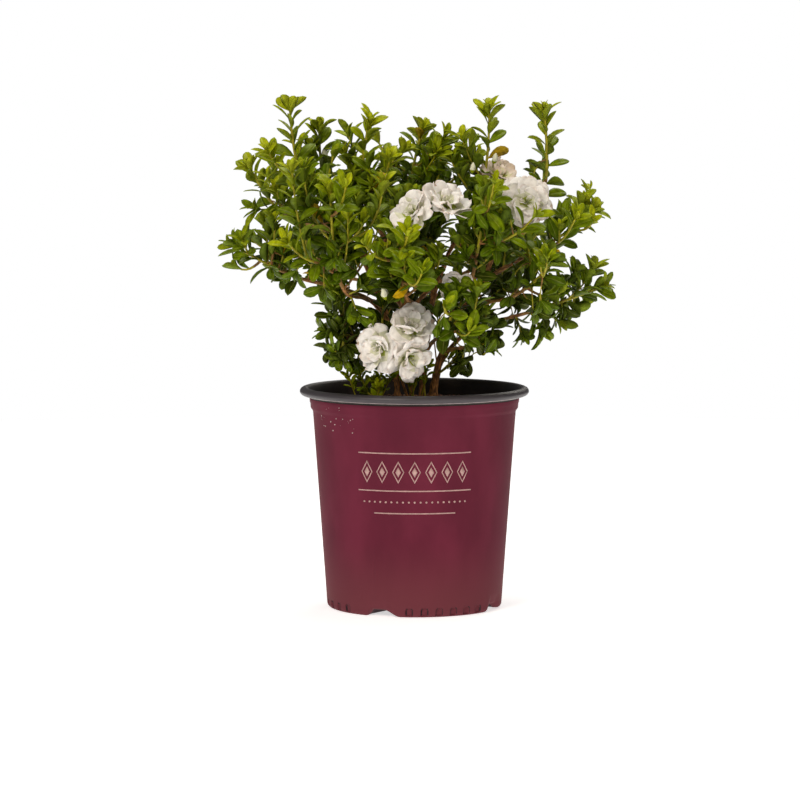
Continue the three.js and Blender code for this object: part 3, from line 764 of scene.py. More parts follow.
def ink_material(colour):
    """Screen ink in a dull tan: gives a thin even film, a little smoother than the plastic under it."""
    settings = {"Roughness": 0.5, "IOR": 1.48}
    return surface("screen_ink_tan", settings, tones(colour, 0.92, 1.08), 4.0, (0.8, 0.03))


def lime_material():
    """Lime that hard water leaves as it dries: gives pale chalky specks without a shine."""
    colours = tones(linear("#c8b6b0"), 0.92, 1.08)
    return surface("dried_water_spots", {"Roughness": 0.8}, colours, 1.5, (0.5, 0.03))


def mix_materials(bark, fibre):
    """Composted pine bark, damp and crumbly: gives a dark rough bed, redder flakes and a few pale fibres."""
    looks = {
        "composted_bark_bed": shade(bark, 0.48),
        "pine_bark_brown": bark,
        "pine_bark_dark": shade(bark, 0.62),
        "pale_fibre": fibre,
    }
    settings = {"Roughness": 0.85, "IOR": 1.4}
    return [
        surface(name, settings, tones(colour, 0.62, 1.36), 3.0, (0.9, 0.5, 4.0), detail=6.0)
        for name, colour in looks.items()
    ]


def dust_and_floor_bounce(tree, dust):
    """Makes the lowest part of the pot paler, more so towards the floor: dust, and painted bounce light from
    the pale floor.
    """
    shader = tree.nodes["Principled BSDF"]
    point = add_node(tree, "ShaderNodeTexCoord").outputs["Object"]
    height = add_node(tree, "ShaderNodeSeparateXYZ", inputs={"Vector": point}).outputs["Z"]
    inputs = {"Value": height, "From Min": DUST_AND_BOUNCE_TOP * MM, "From Max": 0.0, "To Min": 0.0, "To Max": 1.0}
    amount = add_node(tree, "ShaderNodeMapRange", {"interpolation_type": "SMOOTHSTEP"}, inputs)
    clean = shader.inputs["Base Color"].links[0].from_socket
    inputs = {"Factor_Float": amount, "A_Color": clean, "B_Color": dust}
    mixed = add_node(tree, "ShaderNodeMix", {"data_type": "RGBA"}, inputs)
    result = next(socket for socket in mixed.outputs if socket.identifier == "Result_Color")
    tree.links.new(result, shader.inputs["Base Color"])


# Curves and limbs, in millimetres


class Curve:
    """A quadratic curve through space that is walked by the share of its length."""

    STEPS = 32
    NEAR = 0.02

    def __init__(self, start, middle, end):
        shares = [i / self.STEPS for i in range(self.STEPS + 1)]
        self.points = [start * (1 - t) ** 2 + middle * 2 * t * (1 - t) + end * t * t for t in shares]
        steps = [(b - a).length for a, b in zip(self.points, self.points[1:])]
        self.lengths = np.concatenate(([0.0], np.cumsum(steps)))
        self.length = float(self.lengths[-1])

    def at(self, share):
        goal = min(1.0, max(0.0, share)) * self.length
        i = min(self.STEPS - 1, max(0, int(np.searchsorted(self.lengths, goal, side="right")) - 1))
        step = self.lengths[i + 1] - self.lengths[i]
        return self.points[i].lerp(self.points[i + 1], (goal - self.lengths[i]) / step)

    def along(self, share):
        here = min(1 - self.NEAR, max(self.NEAR, share))
        return (self.at(here + self.NEAR) - self.at(here - self.NEAR)).normalized()


Limb = namedtuple("Limb", "name curve radii is_stem")


def limb_curve(start, end):
    """A limb rises steeply from its start and bends out towards its end."""
    middle = start.lerp(end, LIMB_LEAN)
    middle.z = between(start.z, end.z, LIMB_RISE)
    return Curve(start, middle, end)


@functools.cache
def limbs():
    """Every stem and bough by name."""
    made = {}
    for row in GROWTH:
        if row.end is None:
            continue
        is_stem = row.share is None
        start = Vector((*row.foot, SOIL_LEVEL + GAP)) if is_stem else made[row.foot].curve.at(row.share)
        radii = STEM_RADII if is_stem else BOUGH_RADII
        made[row.name] = Limb(row.name, limb_curve(start, Vector(row.end)), radii, is_stem)
    return made


def limb_radius(limb, share):
    flare = 1 + FLARE * math.exp(-share * FLARE_FALL) if limb.is_stem else 1
    return between(*limb.radii, share) * flare


def nearest_distances(a, b, c, d):
    """How near the stretch from a to b comes to each of the stretches from c to d."""
    a, b = np.array(a), np.array(b)
    u, v, w = b - a, d - c, a - c
    uu, uv, vv, uw, vw = u @ u, v @ u, (v * v).sum(1), w @ u, (v * w).sum(1)
    s = np.clip((uv * vw - vv * uw) / np.maximum(uu * vv - uv * uv, 1e-9), 0, 1)
    t = np.clip((uv * s + vw) / vv, 0, 1)
    s = np.clip((uv * t - uw) / max(uu, 1e-9), 0, 1)
    return np.linalg.norm(a + s[:, None] * u - (c + t[:, None] * v), axis=1)


@functools.cache
def limb_stretches():
    """The limbs as short straight stretches: their starts, ends and radii."""
    steps = 10
    cuts = [(limb, i / steps) for limb in limbs().values() for i in range(steps)]
    starts = np.array([limb.curve.at(share) for limb, share in cuts])
    ends = np.array([limb.curve.at(share + 1 / steps) for limb, share in cuts])
    return starts, ends, np.array([limb_radius(limb, share) for limb, share in cuts])


@functools.cache
def bloom_rooms():
    """The room that stays open at each bloom and before its face: a stretch for each, and its width."""
    starts = np.array([bloom.at for bloom in BLOOMS], dtype=float)
    widths = np.array([bloom.width for bloom in BLOOMS], dtype=float)
    faces = [bloom.faces for bloom in BLOOMS]
    ways = np.array([Vector((x, 2 * min(0, y), z)).normalized() for x, y, z in faces])
    views = np.where(widths > BLOOM_CLEAR_WIDTH, BLOOM_VIEW, SMALL_BLOOM_VIEW)
    return starts, starts + ways * views[:, None], widths


def clear_of_limbs(a, b, radius):
    starts, ends, radii = limb_stretches()
    return bool((nearest_distances(a, b, starts, ends) > radii + radius + GAP).all())


def clear_of_blooms(a, b, room):
    starts, ends, widths = bloom_rooms()
    return bool((nearest_distances(a, b, starts, ends) > widths * room).all())


def clear_of_pot(point):
    across = math.hypot(point.x, point.y)
    if across < LIP_CENTRE_RADIUS - LIP_HALF_WIDTH - LINING_CLEARANCE:
        return point.z > SOIL_LEVEL + MIX_CLEARANCE
    return across > LIP_RADIUS + LIP_CLEARANCE or point.z > POT_HEIGHT + LIP_CLEARANCE


def crown_depth(point):
    """How far out a point is in the crown: 0 in its middle, 1 on its outline."""
    upper = ease((point.z - CROWN_WIDEST_LEVEL) / CROWN_UPPER_BLEND)
    half_width = CROWN_HALF_WIDTH - CROWN_UPPER_LOSS * upper
    across = abs(point.x - CROWN_CENTRE_X - CROWN_UPPER_SHIFT * upper) / half_width
    deep = abs(point.y) / CROWN_HALF_DEPTH
    lean = CROWN_LEAN * (point.x - CROWN_CENTRE_X)
    high = max(0.0, point.z + lean - CROWN_WIDEST_LEVEL) / CROWN_RISE
    power = CROWN_SQUARENESS
    return (across**power + deep**power + high**power) ** (1 / power)


def inside_crown(point):
    reach = math.hypot(point.x, point.y)
    foot = CROWN_FOOT_LEVEL + CROWN_FOOT_SLOPE * (reach - LIP_RADIUS) - CROWN_FOOT_TILT * point.x
    return point.z > foot and crown_depth(point) < 1


def in_sky(point):
    """True where a point would fill one of the gaps that the crown leaves open from front to back."""
    return any(math.hypot((point.x - x) / wide, (point.z - z) / high) < 1 for x, z, wide, high in SKY_GAPS)


def ceiling(point):
    """The level that shoots keep under: highest at the crown's peaks, and lower between them."""
    peaks = (level - CROWN_PEAK_SLOPE * abs(point.x - x) for x, level in CROWN_PEAKS)
    return max(CROWN_SHOULDER_LEVEL, *peaks)


@functools.cache
def spaces():
    """The space of each mass: its centre and its weight, the square of its spread."""
    starts = [Vector(row.end) if row.end else Vector((*row.foot, SOIL_LEVEL)) for row in GROWTH]
    centres = [start.lerp(Vector(row.tip), SPACE_CENTRE_SHARE) for start, row in zip(starts, GROWTH)]
    return np.array(centres), np.array([row.spread**2 for row in GROWTH], dtype=float)


def in_space(key, point):
    """True where a point is nearer to its own mass's centre than to any other's, by their weights."""
    centres, weights = spaces()
    power = ((centres - np.array(point)) ** 2).sum(1) - weights
    return bool((power >= power[key]).all())


def axis_curve(row, reach):
    """The leader of a mass: it goes on the way that its limb ends, then turns towards its tip."""
    if row.end:
        away = limbs()[row.name].curve.along(1)
        start = Vector(row.end)
    else:
        away = UP
        start = Vector((*row.foot, SOIL_LEVEL - BASAL_SUNK))
    tip = Vector(row.tip)
    middle = start + away * AXIS_BEND * (tip - start).length
    return Curve(start, middle, tip - (tip - middle).normalized() * reach)


# The shrub


Leaf = namedtuple("Leaf", "root along face length shape tint")
Shoot = namedtuple("Shoot", "curve radii green_from")

# Thin twigs among the stems' feet: start, middle and end, radii, and the share from which they are green,
# where 2 leaves them brown.
FOOT_TWIGS = (
    ((-5, -10, 222), (-11, -12, 236), (-15, -12, 251), (1.7, 1.3), 2),
    ((-1, -14, 221), (-1, -15, 232), (-3, -14, 244), (1.0, 0.7), 0),
    ((12, -14, 221), (11, -15, 236), (9, -14, 250), (1.1, 0.8), 0),
    ((26, -9, 252), (22, -10, 276), (21, -10, 294), (0.9, 0.7), 2),
    ((21, -10, 294), (19, -10, 300), (15, -11, 310), (0.7, 0.5), 2),
    ((21, -10, 294), (23, -10, 301), (25, -11, 311), (0.7, 0.5), 2),
    ((22, -7, 250), (36, -10, 258), (47, -12, 271), (1.0, 0.7), 0),
)

# Small leafy shoots at the stems' feet: start and end.
FOOT_SHOOTS = (
    ((22, -7, 250), (48, -18, 276)),
    ((36, -10, 258), (37, -20, 270)),
    ((-4, -14, 226), (4, -30, 254)),
    ((-4, -14, 232), (-8, -36, 250)),
    ((8, -14, 230), (14, -34, 262)),
    ((-44, -20, 222), (-58, -36, 254)),
    ((-44, -20, 222), (-64, -24, 264)),
    ((-38, -22, 222), (-26, -44, 254)),
    ((-60, -18, 222), (-70, -34, 252)),
)

# Shoots where the rule leaves a gap and the photo shows none, and in the middle, where the crown would be
# hollow from above: mass, share along its leader, and tip.
FILLING_SHOOTS = (
    ("middle_top", 0.6, (31, -4, 505)),
    ("middle_top", 0.45, (23, -12, 488)),
    ("right_peak", 0.45, (52, -10, 502)),
    ("right_peak", 0.3, (40, -16, 480)),
    ("middle_left_top", 0.5, (-70, 4, 507)),
    ("middle_left_top", 0.35, (-75, -4, 487)),
    ("middle_left_top", 0.45, (-12, -8, 490)),
    ("left_middle", 0.35, (-170, 14, 428)),
    ("right_low", 0.45, (170, -24, 362)),
    ("right_low", 0.62, (190, -32, 366)),
    ("right_low", 0.3, (152, -36, 348)),
    ("right_low", 0.06, (114, -30, 298)),
    ("right_low", 0.22, (134, -34, 300)),
    ("right_low", 0.36, (152, -20, 310)),
    ("front_left", 0.08, (-56, -90, 350)),
    ("front_left", 0.04, (-62, -84, 326)),
    ("front_right", 0.12, (42, -78, 372)),
    ("front_low", 0.05, (24, -66, 318)),
    ("low_left", 0.08, (-60, -44, 270)),
    ("low_left", 0.3, (-78, -46, 274)),
    ("middle_left_top", 0.08, (-58, -32, 436)),
    ("middle_left_top", 0.2, (-46, -38, 452)),
    ("middle_left_top", 0.02, (-72, -22, 430)),
    ("middle_left_top", 0.3, (-66, -18, 464)),
    ("left_top", 0.08, (-84, -46, 444)),
    ("left_top", 0.02, (-74, -40, 426)),
    ("centre", 0.5, (-46, -46, 434)),
    ("front_left", 0.4, (-60, -64, 436)),
    ("front_left", 0.25, (-80, -58, 414)),
    ("right_peak", 0.05, (66, -30, 428)),
    ("right_peak", 0.15, (74, -16, 448)),
    ("right_up", 0.04, (104, -40, 410)),
)


def light_at(key, point):
    """How much light reaches a point: more near the crown's top and its outside. Leaf tints are chosen from
    it, so it paints shade into the lower and inner leaves.
    """
    if key == BASAL_MASS:
        return BASAL_LIGHT
    by_height = LIGHT_BY_HEIGHT * (point.z - POT_HEIGHT) / LIGHT_FULL_HEIGHT
    return by_height + LIGHT_BY_DEPTH * min(1.0, crown_depth(point))


class Shrub:
    """The whole plant's leaders, twigs, shoots and leaves, grown by one rule from the table of masses."""

    def __init__(self, leaf_length, leaf_spacing, shoot_spacing, spur_spacing):
        self.leaf_length = leaf_length
        self.leaf_spacing = leaf_spacing
        self.shoot_spacing = shoot_spacing
        self.spur_spacing = spur_spacing
        self.tip_reach = leaf_length * ROSETTE_REACH
        self.longer = SOLID_LEAF_LENGTH * LEAF_END_SHARE - self.tip_reach
        self.shoots = []
        self.leaves = []
        for key, row in enumerate(GROWTH):
            self.grow_mass(key, row)
        for start, middle, end, radii, green_from in FOOT_TWIGS:
            curve = Curve(Vector(start), Vector(middle), Vector(end))
            self.shoots.append(Shoot(curve, radii, green_from))
        for i, (start, end) in enumerate(FOOT_SHOOTS):
            start, end = Vector(start), Vector(end)
            middle = start.lerp(end, PLACED_MIDDLE) - UP * FOOT_SHOOT_SAG
            self.add_shoot(BASAL_MASS, FOOT_KEY + i, Curve(start, middle, end), FOOT_SHOOT)
        keys = {row.name: key for key, row in enumerate(GROWTH)}
        for i, (name, share, end) in enumerate(FILLING_SHOOTS):
            start, end = axis_curve(GROWTH[keys[name]], self.tip_reach).at(share), Vector(end)
            middle = start.lerp(end, PLACED_MIDDLE)
            middle.z = between(start.z, end.z, FILLING_MIDDLE_RISE)
            self.add_shoot(keys[name], FILLING_KEY + i, Curve(start, middle, end), FILLING_SHOOT)

    def grow_mass(self, key, row):
        """A leader, with twigs round it by the golden angle, and short shoots between them."""
        axis = axis_curve(row, self.tip_reach)
        self.add_shoot(key, AXIS_KEY, axis, LEADER)
        count = round(row.spread / TWIG_SPACING) + 1
        for i in range(count):
            share = between(TWIG_FIRST_SHARE, TWIG_LAST_SHARE, (i + 0.5) / count)
            out = sideways(axis.along(share), i * GOLDEN_TURN + chance(key, i, Draw.TWIG_TURN))
            size = TWIG_SHORTEST + TWIG_VARIATION * chance(key, i, Draw.TWIG_SIZE)
            full = row.spread * size * (TWIG_FOOT_REACH - TWIG_REACH_LOSS * share) + self.longer
            self.grow_twig(key, i, axis, share, out, full)
        self.grow_shoots(key, AXIS_KEY, axis, *LEADER_SHOOTS)
        self.grow_spurs(key, AXIS_KEY, axis, SPURS_FROM)
        if row.end:
            self.grow_spurs(key, LIMB_KEY, limbs()[row.name].curve, LIMB_BARE_SHARE)

    def grow_twig(self, key, twig_key, parent, share, out, full):
        """The longest of a few lengths of twig that fits, with shoots and leaves of its own."""
        start, along = parent.at(share), parent.along(share)
        highest = between(*TWIG_TOP, chance(key, twig_key, Draw.TOP))
        for cut in TWIG_CUTS:
            reach = full * cut
            middle = start + out * reach * TWIG_BEND + along * reach * TWIG_MIDDLE_LEAN
            end = start + out * reach * TWIG_OUT + along * reach * TWIG_LEAN + UP * reach * TWIG_LIFT
            curve = Curve(start, middle, end)
            if self.shoot_fits(key, curve, TWIG_CROWN, highest):
                self.add_shoot(key, twig_key, curve, TWIG)
                self.grow_shoots(key, twig_key, curve, *TWIG_SHOOTS)
                self.grow_spurs(key, twig_key, curve, SPURS_FROM)
                return

    def grow_shoots(self, key, twig_key, parent, first_share, last_share):
        """Leafy shoots along a twig, each rising steeply towards the light."""
        count = max(1, round(parent.length * (last_share - first_share) / self.shoot_spacing))
        for i in range(count):
            share = between(first_share, last_share, (i + 0.4) / count)
            shoot_key = SHOOT_KEY + twig_key * SHOOTS_PER_TWIG + i
            start, along = parent.at(share), parent.along(share)
            out = sideways(along, i * GOLDEN_TURN + TURN * chance(key, shoot_key, Draw.SIDE))
            full = between(*SHOOT_REACH, chance(key, shoot_key, Draw.REACH))
            most = between(*SHOOT_CROWN, chance(key, shoot_key, Draw.DEPTH))
            highest = between(*SHOOT_TOP, chance(key, shoot_key, Draw.TOP))
            for cut in SHOOT_CUTS:
                reach = full * cut
                middle, end = (start + (out * o + along * a + UP * u) * reach for o, a, u in SHOOT_WAYS)
                curve = Curve(start, middle, end)
                if self.shoot_fits(key, curve, most, highest):
                    self.add_shoot(key, shoot_key, curve, SHOOT)
                    break

    def grow_spurs(self, key, twig_key, parent, first_share):
        """Short spurs inside the crown, each with a tuft of small shaded leaves."""
        last_share = max(SPURS_TO, first_share + SPURS_LEAST)
        count = round(parent.length * (last_share - first_share) / SPUR_SPACING_SHARE / self.spur_spacing)
        lifts = LOW_SPUR_LIFTS if GROWTH[key].tip[2] < LOW_MASS_TIP else SPUR_LIFTS
        for i in range(count):
            share = between(first_share, last_share, (i + 0.5) / count)
            spur_key = SPUR_KEY + twig_key * SPURS_PER_TWIG + i
            start, along = parent.at(share), parent.along(share)
            out = sideways(along, i * GOLDEN_TURN + TURN * chance(key, spur_key, Draw.SIDE))
            reach = between(*SPUR_REACH, chance(key, spur_key, Draw.REACH))
            end = start + (out * SPUR_OUT + UP * lifts[i % len(lifts)]) * reach
            curve = Curve(start, start + out * reach * SPUR_BEND, end)
            if self.shoot_fits(key, curve, SHOOT_CROWN[0], SHOOT_TOP[0]):
                self.shoots.append(Shoot(curve, SPUR_RADII, SPUR_GREEN_FROM))
                first_turn = TURN * chance(key, spur_key, Draw.FIRST_TURN)
                self.add_rosette(key, spur_key, curve, first_turn, light_at(key, curve.at(1)))

    def shoot_fits(self, key, curve, most, highest):
        """True where a shoot keeps to its space and its share of the crown, clear of limbs and blooms."""
        tip = curve.at(1) + curve.along(1) * self.tip_reach
        if not (in_space(key, tip) and inside_crown(tip)) or crown_depth(tip) > most:
            return False
        if tip.z > CROWN_WIDEST_LEVEL + CROWN_RISE * highest or tip.z > ceiling(tip) or in_sky(tip):
            return False
        marks = [curve.at(share) for share in SHOOT_MARKS]
        if not all(clear_of_pot(point) and in_space(key, point) for point in marks[1:]):
            return False
        return all(
            clear_of_limbs(a, b, SHOOT_CLEARANCE) and clear_of_blooms(a, b, BLOOM_ROOM)
            for a, b in zip(marks, marks[1:])
        )

    def add_shoot(self, key, twig_key, curve, habit):
        """A shoot with leaves up it by the golden angle, from large dark ones to bright ones at its tip."""
        self.shoots.append(Shoot(curve, habit.radii, habit.green_from))
        light = light_at(key, curve.at(1)) + LIGHT_SPREAD * chance(key, twig_key, Draw.LIGHT)
        first_turn = TURN * chance(key, twig_key, Draw.FIRST_TURN)
        self.add_rosette(key, twig_key, curve, first_turn, light + ROSETTE_LIGHT)
        spacings = LEADER_LEAF_SPACINGS if twig_key == AXIS_KEY else LEAF_SPACINGS
        from_tip, i = FIRST_LEAF, 0
        while from_tip < curve.length * (1 - habit.bare):
            share = 1 - from_tip / curve.length
            older = min(1, from_tip / LEAF_OLD_FROM)
            along = curve.along(share)
            spread = between(*LEAF_SIZE_SPREAD, chance(key, twig_key, Draw.LEAF_SIZE + i))
            tilt = LEAF_ANGLE_SPREAD * (chance(key, twig_key, Draw.LEAF_ANGLE + i) - 0.5)
            angle = between(*LEAF_ANGLES, older) + tilt
            out = sideways(along, first_turn - (i + 1) * GOLDEN_TURN)
            number = (key, twig_key, LEAF_KEY + i)
            size = between(*LEAF_SIZES, older) * spread
            leaf_light = light + YOUNG_LIGHT - OLD_LIGHT_LOSS * older
            self.add_leaf(number, curve.at(share), along, out, angle, size, leaf_light)
            from_tip += self.leaf_spacing * between(*spacings, older)
            i += 1

    def add_rosette(self, key, twig_key, curve, first_turn, light):
        """The leaves round a shoot's tip, from open ones to the small upright ones in the middle."""
        along = curve.along(1)
        for j, (angle, size) in enumerate(zip(ROSETTE_ANGLES, ROSETTE_SIZES)):
            out = sideways(along, first_turn + j * GOLDEN_TURN)
            root = curve.at(1) - along * (ROSETTE_FOOT - ROSETTE_STEP * j)
            number = (key, twig_key, ROSETTE_KEY + j)
            tilted = angle + ROSETTE_TILT_SPREAD * (chance(*number, Draw.ROSETTE_TILT) - 0.5)
            self.add_leaf(number, root, along, out, tilted, size, light + ROSETTE_LIGHT_STEP * j)

    def add_leaf(self, number, root, along, out, angle, size, light):
        """A leaf at an angle to its shoot, its upper face to the shoot's tip, the sky and the outside."""
        key, twig_key, _ = number
        on_leader = twig_key == AXIS_KEY
        if key == BASAL_MASS:
            size *= BASAL_LEAF_SIZE
        elif on_leader:
            size *= LEADER_LEAF_SIZE
        length = self.leaf_length * size
        direction = (along * math.cos(angle) + out * math.sin(angle) + UP * LEAF_LIFT).normalized()
        tip = root + direction * length
        if not clear_of_pot(tip):
            return
        own_place = on_leader or key == BASAL_MASS or twig_key >= FILLING_KEY
        if not own_place and not (in_space(key, tip) and inside_crown(tip) and not in_sky(tip)):
            return
        near = root + direction * length * LEAF_STALK_SHARE
        if not (clear_of_limbs(near, tip, LEAF_CLEARANCE) and clear_of_blooms(near, tip, BLOOM_ROOM)):
            return
        outside = (root - CROWN_MIDDLE).normalized()
        face = along - direction * along.dot(direction) + UP * FACE_UP + outside * FACE_OUTSIDE
        face = (face - direction * face.dot(direction)).normalized()
        roll = FACE_ROLL * (LEADER_ROLL if on_leader else 1) * (2 * chance(*number, Draw.ROLL) - 1)
        face = face * math.cos(roll) + direction.cross(face) * math.sin(roll)
        shape = int(chance(*number, Draw.LEAF_SHAPE) * BROAD_SHAPES)
        if light > NARROW_FROM_LIGHT and not on_leader:
            shape = BROAD_SHAPES + int(chance(*number, Draw.LEAF_SHAPE) * NARROW_SHAPES)
        # A leaf's tint follows its light: the darker tints inside paint the crown's shade.
        tint = next((tint for tint, least in TINT_LIGHTS.items() if light > least), "dark")
        if chance(*number, Draw.TURNING) < TURNING_SHARE:
            tint = "turning"
        self.leaves.append(Leaf(root - direction * LEAF_SUNK, direction, face, length, shape, tint))


@functools.cache
def shrub(*sizes):
    """The shrub is grown once, for the twigs and for the leaves."""
    return Shrub(*sizes)


def grown(context):
    plant = context.scene.azalea_plant
    sizes = (plant.leaf_length, plant.leaf_spacing, plant.shoot_spacing, plant.spur_spacing)
    return shrub(*[size / MM for size in sizes])


# Wood

WOOD_AGES = ("Old Bark", "Tan Bark", "Green Shoot")
TWIG_SIDES = 6
RIDGE_WIDTH = 1.5
RIDGE_STRETCH = (1, 1, 0.28)


def wood_tree():
    """A tube along each path of a mesh, by the girth on its points, with relief along the grain."""
    tree, given = geometry_tree("Wood Along Paths", {"Sides": "Int", "Relief": "Float"}, WOOD_AGES)

    def stored(geometry, label, kind, value):
        inputs = {"Geometry": geometry, "Name": label, "Value": value}
        settings = {"data_type": kind, "domain": "POINT"}
        return add_node(tree, "GeometryNodeStoreNamedAttribute", settings, inputs)

    paths = add_node(tree, "GeometryNodeMeshToCurve", inputs={"Mesh": given["Geometry"]})
    walked = add_node(tree, "GeometryNodeSplineParameter").outputs["Length"]
    paths = stored(paths, "walked", "FLOAT", walked)
    ring = add_node(tree, "GeometryNodeCurvePrimitiveCircle", inputs={"Resolution": given["Sides"]})
    ring = stored(ring, "around", "FLOAT_VECTOR", add_node(tree, "GeometryNodeInputPosition"))
    radius = named_value(tree, "girth", "FLOAT")
    inputs = {"Curve": paths, "Profile Curve": ring, "Scale": radius, "Fill Caps": True}
    tube = add_node(tree, "GeometryNodeCurveToMesh", inputs=inputs)
    inputs = {"Vector": named_value(tree, "around", "FLOAT_VECTOR"), "Scale": radius}
    girth = vector_math(tree, "SCALE", inputs)
    rise = add_node(tree, "ShaderNodeCombineXYZ", inputs={"Z": named_value(tree, "walked", "FLOAT")})
    tube = stored(tube, "bark", "FLOAT_VECTOR", vector_math(tree, "ADD", {0: girth, 1: rise}))
    bark = named_value(tree, "bark", "FLOAT_VECTOR")
    stretched = vector_math(tree, "MULTIPLY", {0: bark, 1: RIDGE_STRETCH})
    inputs = {"Vector": stretched, "Scale": 1 / (RIDGE_WIDTH * MM), "Detail": 3.0}
    ridges = add_node(tree, "ShaderNodeTexNoise", inputs=inputs)
    height = add_node(tree, "ShaderNodeMath", {"operation": "SUBTRACT"}, {0: ridges, 1: 0.5})
    height = add_node(tree, "ShaderNodeMath", {"operation": "MULTIPLY"}, {0: height, 1: given["Relief"]})
    inputs = {"Vector": add_node(tree, "GeometryNodeInputNormal"), "Scale": height}
    inputs = {"Geometry": tube, "Offset": vector_math(tree, "SCALE", inputs)}
    finish_tree(tree, given, add_node(tree, "GeometryNodeSetPosition", inputs=inputs), WOOD_AGES)
    return tree


def wood_piece(name, paths, sides, relief_height, plant):
    """A piece of wood from paths, each of them points, radii and ages (0 old, 1 second year, 2 green)."""
    points, radii, ages, edges = [], [], [], []
    for path, widths, parts in paths:
        first = len(points)
        points.extend(path)
        radii.extend(widths)
        ages.extend(parts)
        edges.extend((i, i + 1) for i in range(first, len(points) - 1))
    attributes = {"girth": ("FLOAT", np.array(radii) * MM), "part": ("INT", ages)}
    piece = new_piece(name, points, edges=edges, attributes=attributes)
    materials = wood_materials(plant.bark_colour[:], plant.twig_colour[:], plant.shoot_colour[:])
    values = {"Sides": sides, "Relief": relief_height, **dict(zip(WOOD_AGES, materials))}
    return run_tree(piece, wood_tree(), values)


# How much finer than in the solids some stems are at their feet, and how soon that fades along them.
STEM_FOOT_SHARES = {"left_top": 0.68, "right_up": 1.0, "right_peak": 0.7, "middle_left_top": 0.5}
FOOT_FADE = 2.5

# Where each direction of a limb's wander is read from the noise, so that it is the same in each run.
WANDER_PLACES = ((0.3, 0.4, 0.6), (17.2, 3.7, 9.1), (31.9, 12.4, 5.5))


def limb_path(limb):
    """A limb's points, with a swelling where it leaves its parent, and burrs along it."""
    steps = round(limb.curve.length / LIMB_STEP)
    place_in_noise = len(limb.name)
    path, radii, ages = [], [], []
    for i in range(steps + 1):
        share = i / steps
        walked = share * limb.curve.length
        fork = 0 if limb.is_stem else FORK_SWELL * math.exp(-walked / FORK_FADE)
        fineness = between(STEM_FOOT_SHARES.get(limb.name, 1), 1, ease(share * FOOT_FADE))
        where = Vector((walked / WANDER_LENGTH, place_in_noise, limb.curve.points[0].x))
        wander = Vector([noise.noise(where + Vector(place)) for place in WANDER_PLACES])
        wander = wander * WANDER * math.sin(math.pi * share) ** 0.5
        burr = BURR * noise.noise(Vector((walked / BURR_LENGTH, 3.1 * place_in_noise, 0)))
        path.append(limb.curve.at(share) + wander * (share < 1))
        radii.append(limb_radius(limb, share) * fineness * (1 + fork + burr))
        ages.append(1 if share > 0.5 and not limb.is_stem else 0)
    return path, radii, ages


def shoot_path(shoot):
    """A shoot's points, from brown wood to green skin."""
    steps = max(4, round(shoot.curve.length / SHOOT_STEP))
    shares = [i / steps for i in range(steps + 1)]
    path = [shoot.curve.at(share) for share in shares]
    radii = [between(*shoot.radii, share) for share in shares]
    tan_from = shoot.green_from - TAN_SHARE
    ages = [2 if share >= shoot.green_from else 1 if share >= tan_from else 0 for share in shares]
    return path, radii, ages


# Leaves

# The points along a leaf and across it, and the ranges of its measures, as shares of its length.
LEAF_STATIONS = (0.0, 0.09, 0.24, 0.42, 0.6, 0.78, 0.92, 1.0)
LEAF_HALF_SHARES = (0.04, 0.12, 0.5, 0.83, 1.0, 0.92, 0.6, 0.05)
LEAF_ACROSS = (-1.0, -0.55, -0.06, 0.06, 0.55, 1.0)
BROAD_HALF_WIDTHS = (0.2, 0.245)
NARROW_HALF_WIDTHS = (0.175, 0.215)
LEAF_FOLDS = (0.02, 0.34)
LEAF_CURLS = (0.0, 0.16)
LEAF_BENDS = (-0.1, 0.1)
LEAF_TWISTS = (-0.35, 0.35)
LEAF_THICKNESS = 0.014
LEAF_HUMP = 0.06
LEAF_ARCH = 0.22
BROAD_SHAPES = 5
NARROW_SHAPES = 4
LEAF_PARTS = ("Upper Face", "Midrib", "Underside")
UPPER_FACE, MIDRIB, UNDERSIDE = range(3)


def leaf_pattern(number):
    """One leaf of length 1 along X, face up: a thin closed shell with a midrib and two arched halves."""
    widths = NARROW_HALF_WIDTHS if number >= BROAD_SHAPES else BROAD_HALF_WIDTHS
    half_width = between(*widths, chance(number, Draw.HALF_WIDTH))
    fold = between(*LEAF_FOLDS, chance(number, Draw.FOLD))
    curl = between(*LEAF_CURLS, chance(number, Draw.CURL))
    bend = between(*LEAF_BENDS, chance(number, Draw.BEND))
    twist = between(*LEAF_TWISTS, chance(number, Draw.TWIST))
    vertices = []
    for x, share in zip(LEAF_STATIONS, LEAF_HALF_SHARES):
        wide = half_width * share
        sink = -curl * x * x + LEAF_HUMP * math.sin(math.pi * x)
        row = []
        for across in LEAF_ACROSS:
            arch = LEAF_ARCH * wide * (1 - (2 * abs(across) - 1.1) ** 2)
            row.append(Vector((x, across * wide, sink + fold * abs(across) * wide + arch)))
        row.append(Vector((x, 0, sink - LEAF_THICKNESS)))
        turn = twist * x
        for point in row:
            side, lift = point.y, point.z - sink
            point.y = side * math.cos(turn) - lift * math.sin(turn) + bend * x * x
            point.z = side * math.sin(turn) + lift * math.cos(turn) + sink
        vertices.extend(row)
    faces, parts = [], []
    count = len(LEAF_ACROSS)
    step = count + 1
    last = (len(LEAF_STATIONS) - 1) * step
    for a in range(0, last, step):
        b = a + step
        for j in range(count - 1):
            faces.append((a + j, b + j, b + j + 1, a + j + 1))
            parts.append(MIDRIB if j == count // 2 - 1 else UPPER_FACE)
        faces.append((a + count - 1, b + count - 1, b + count, a + count))
        faces.append((a + count, b + count, b, a))
        parts.extend((UNDERSIDE, UNDERSIDE))
    faces.append(tuple(range(step)))
    faces.append(tuple(last + step - 1 - j for j in range(step)))
    parts.extend((UNDERSIDE, UNDERSIDE))
    return vertices, faces, parts


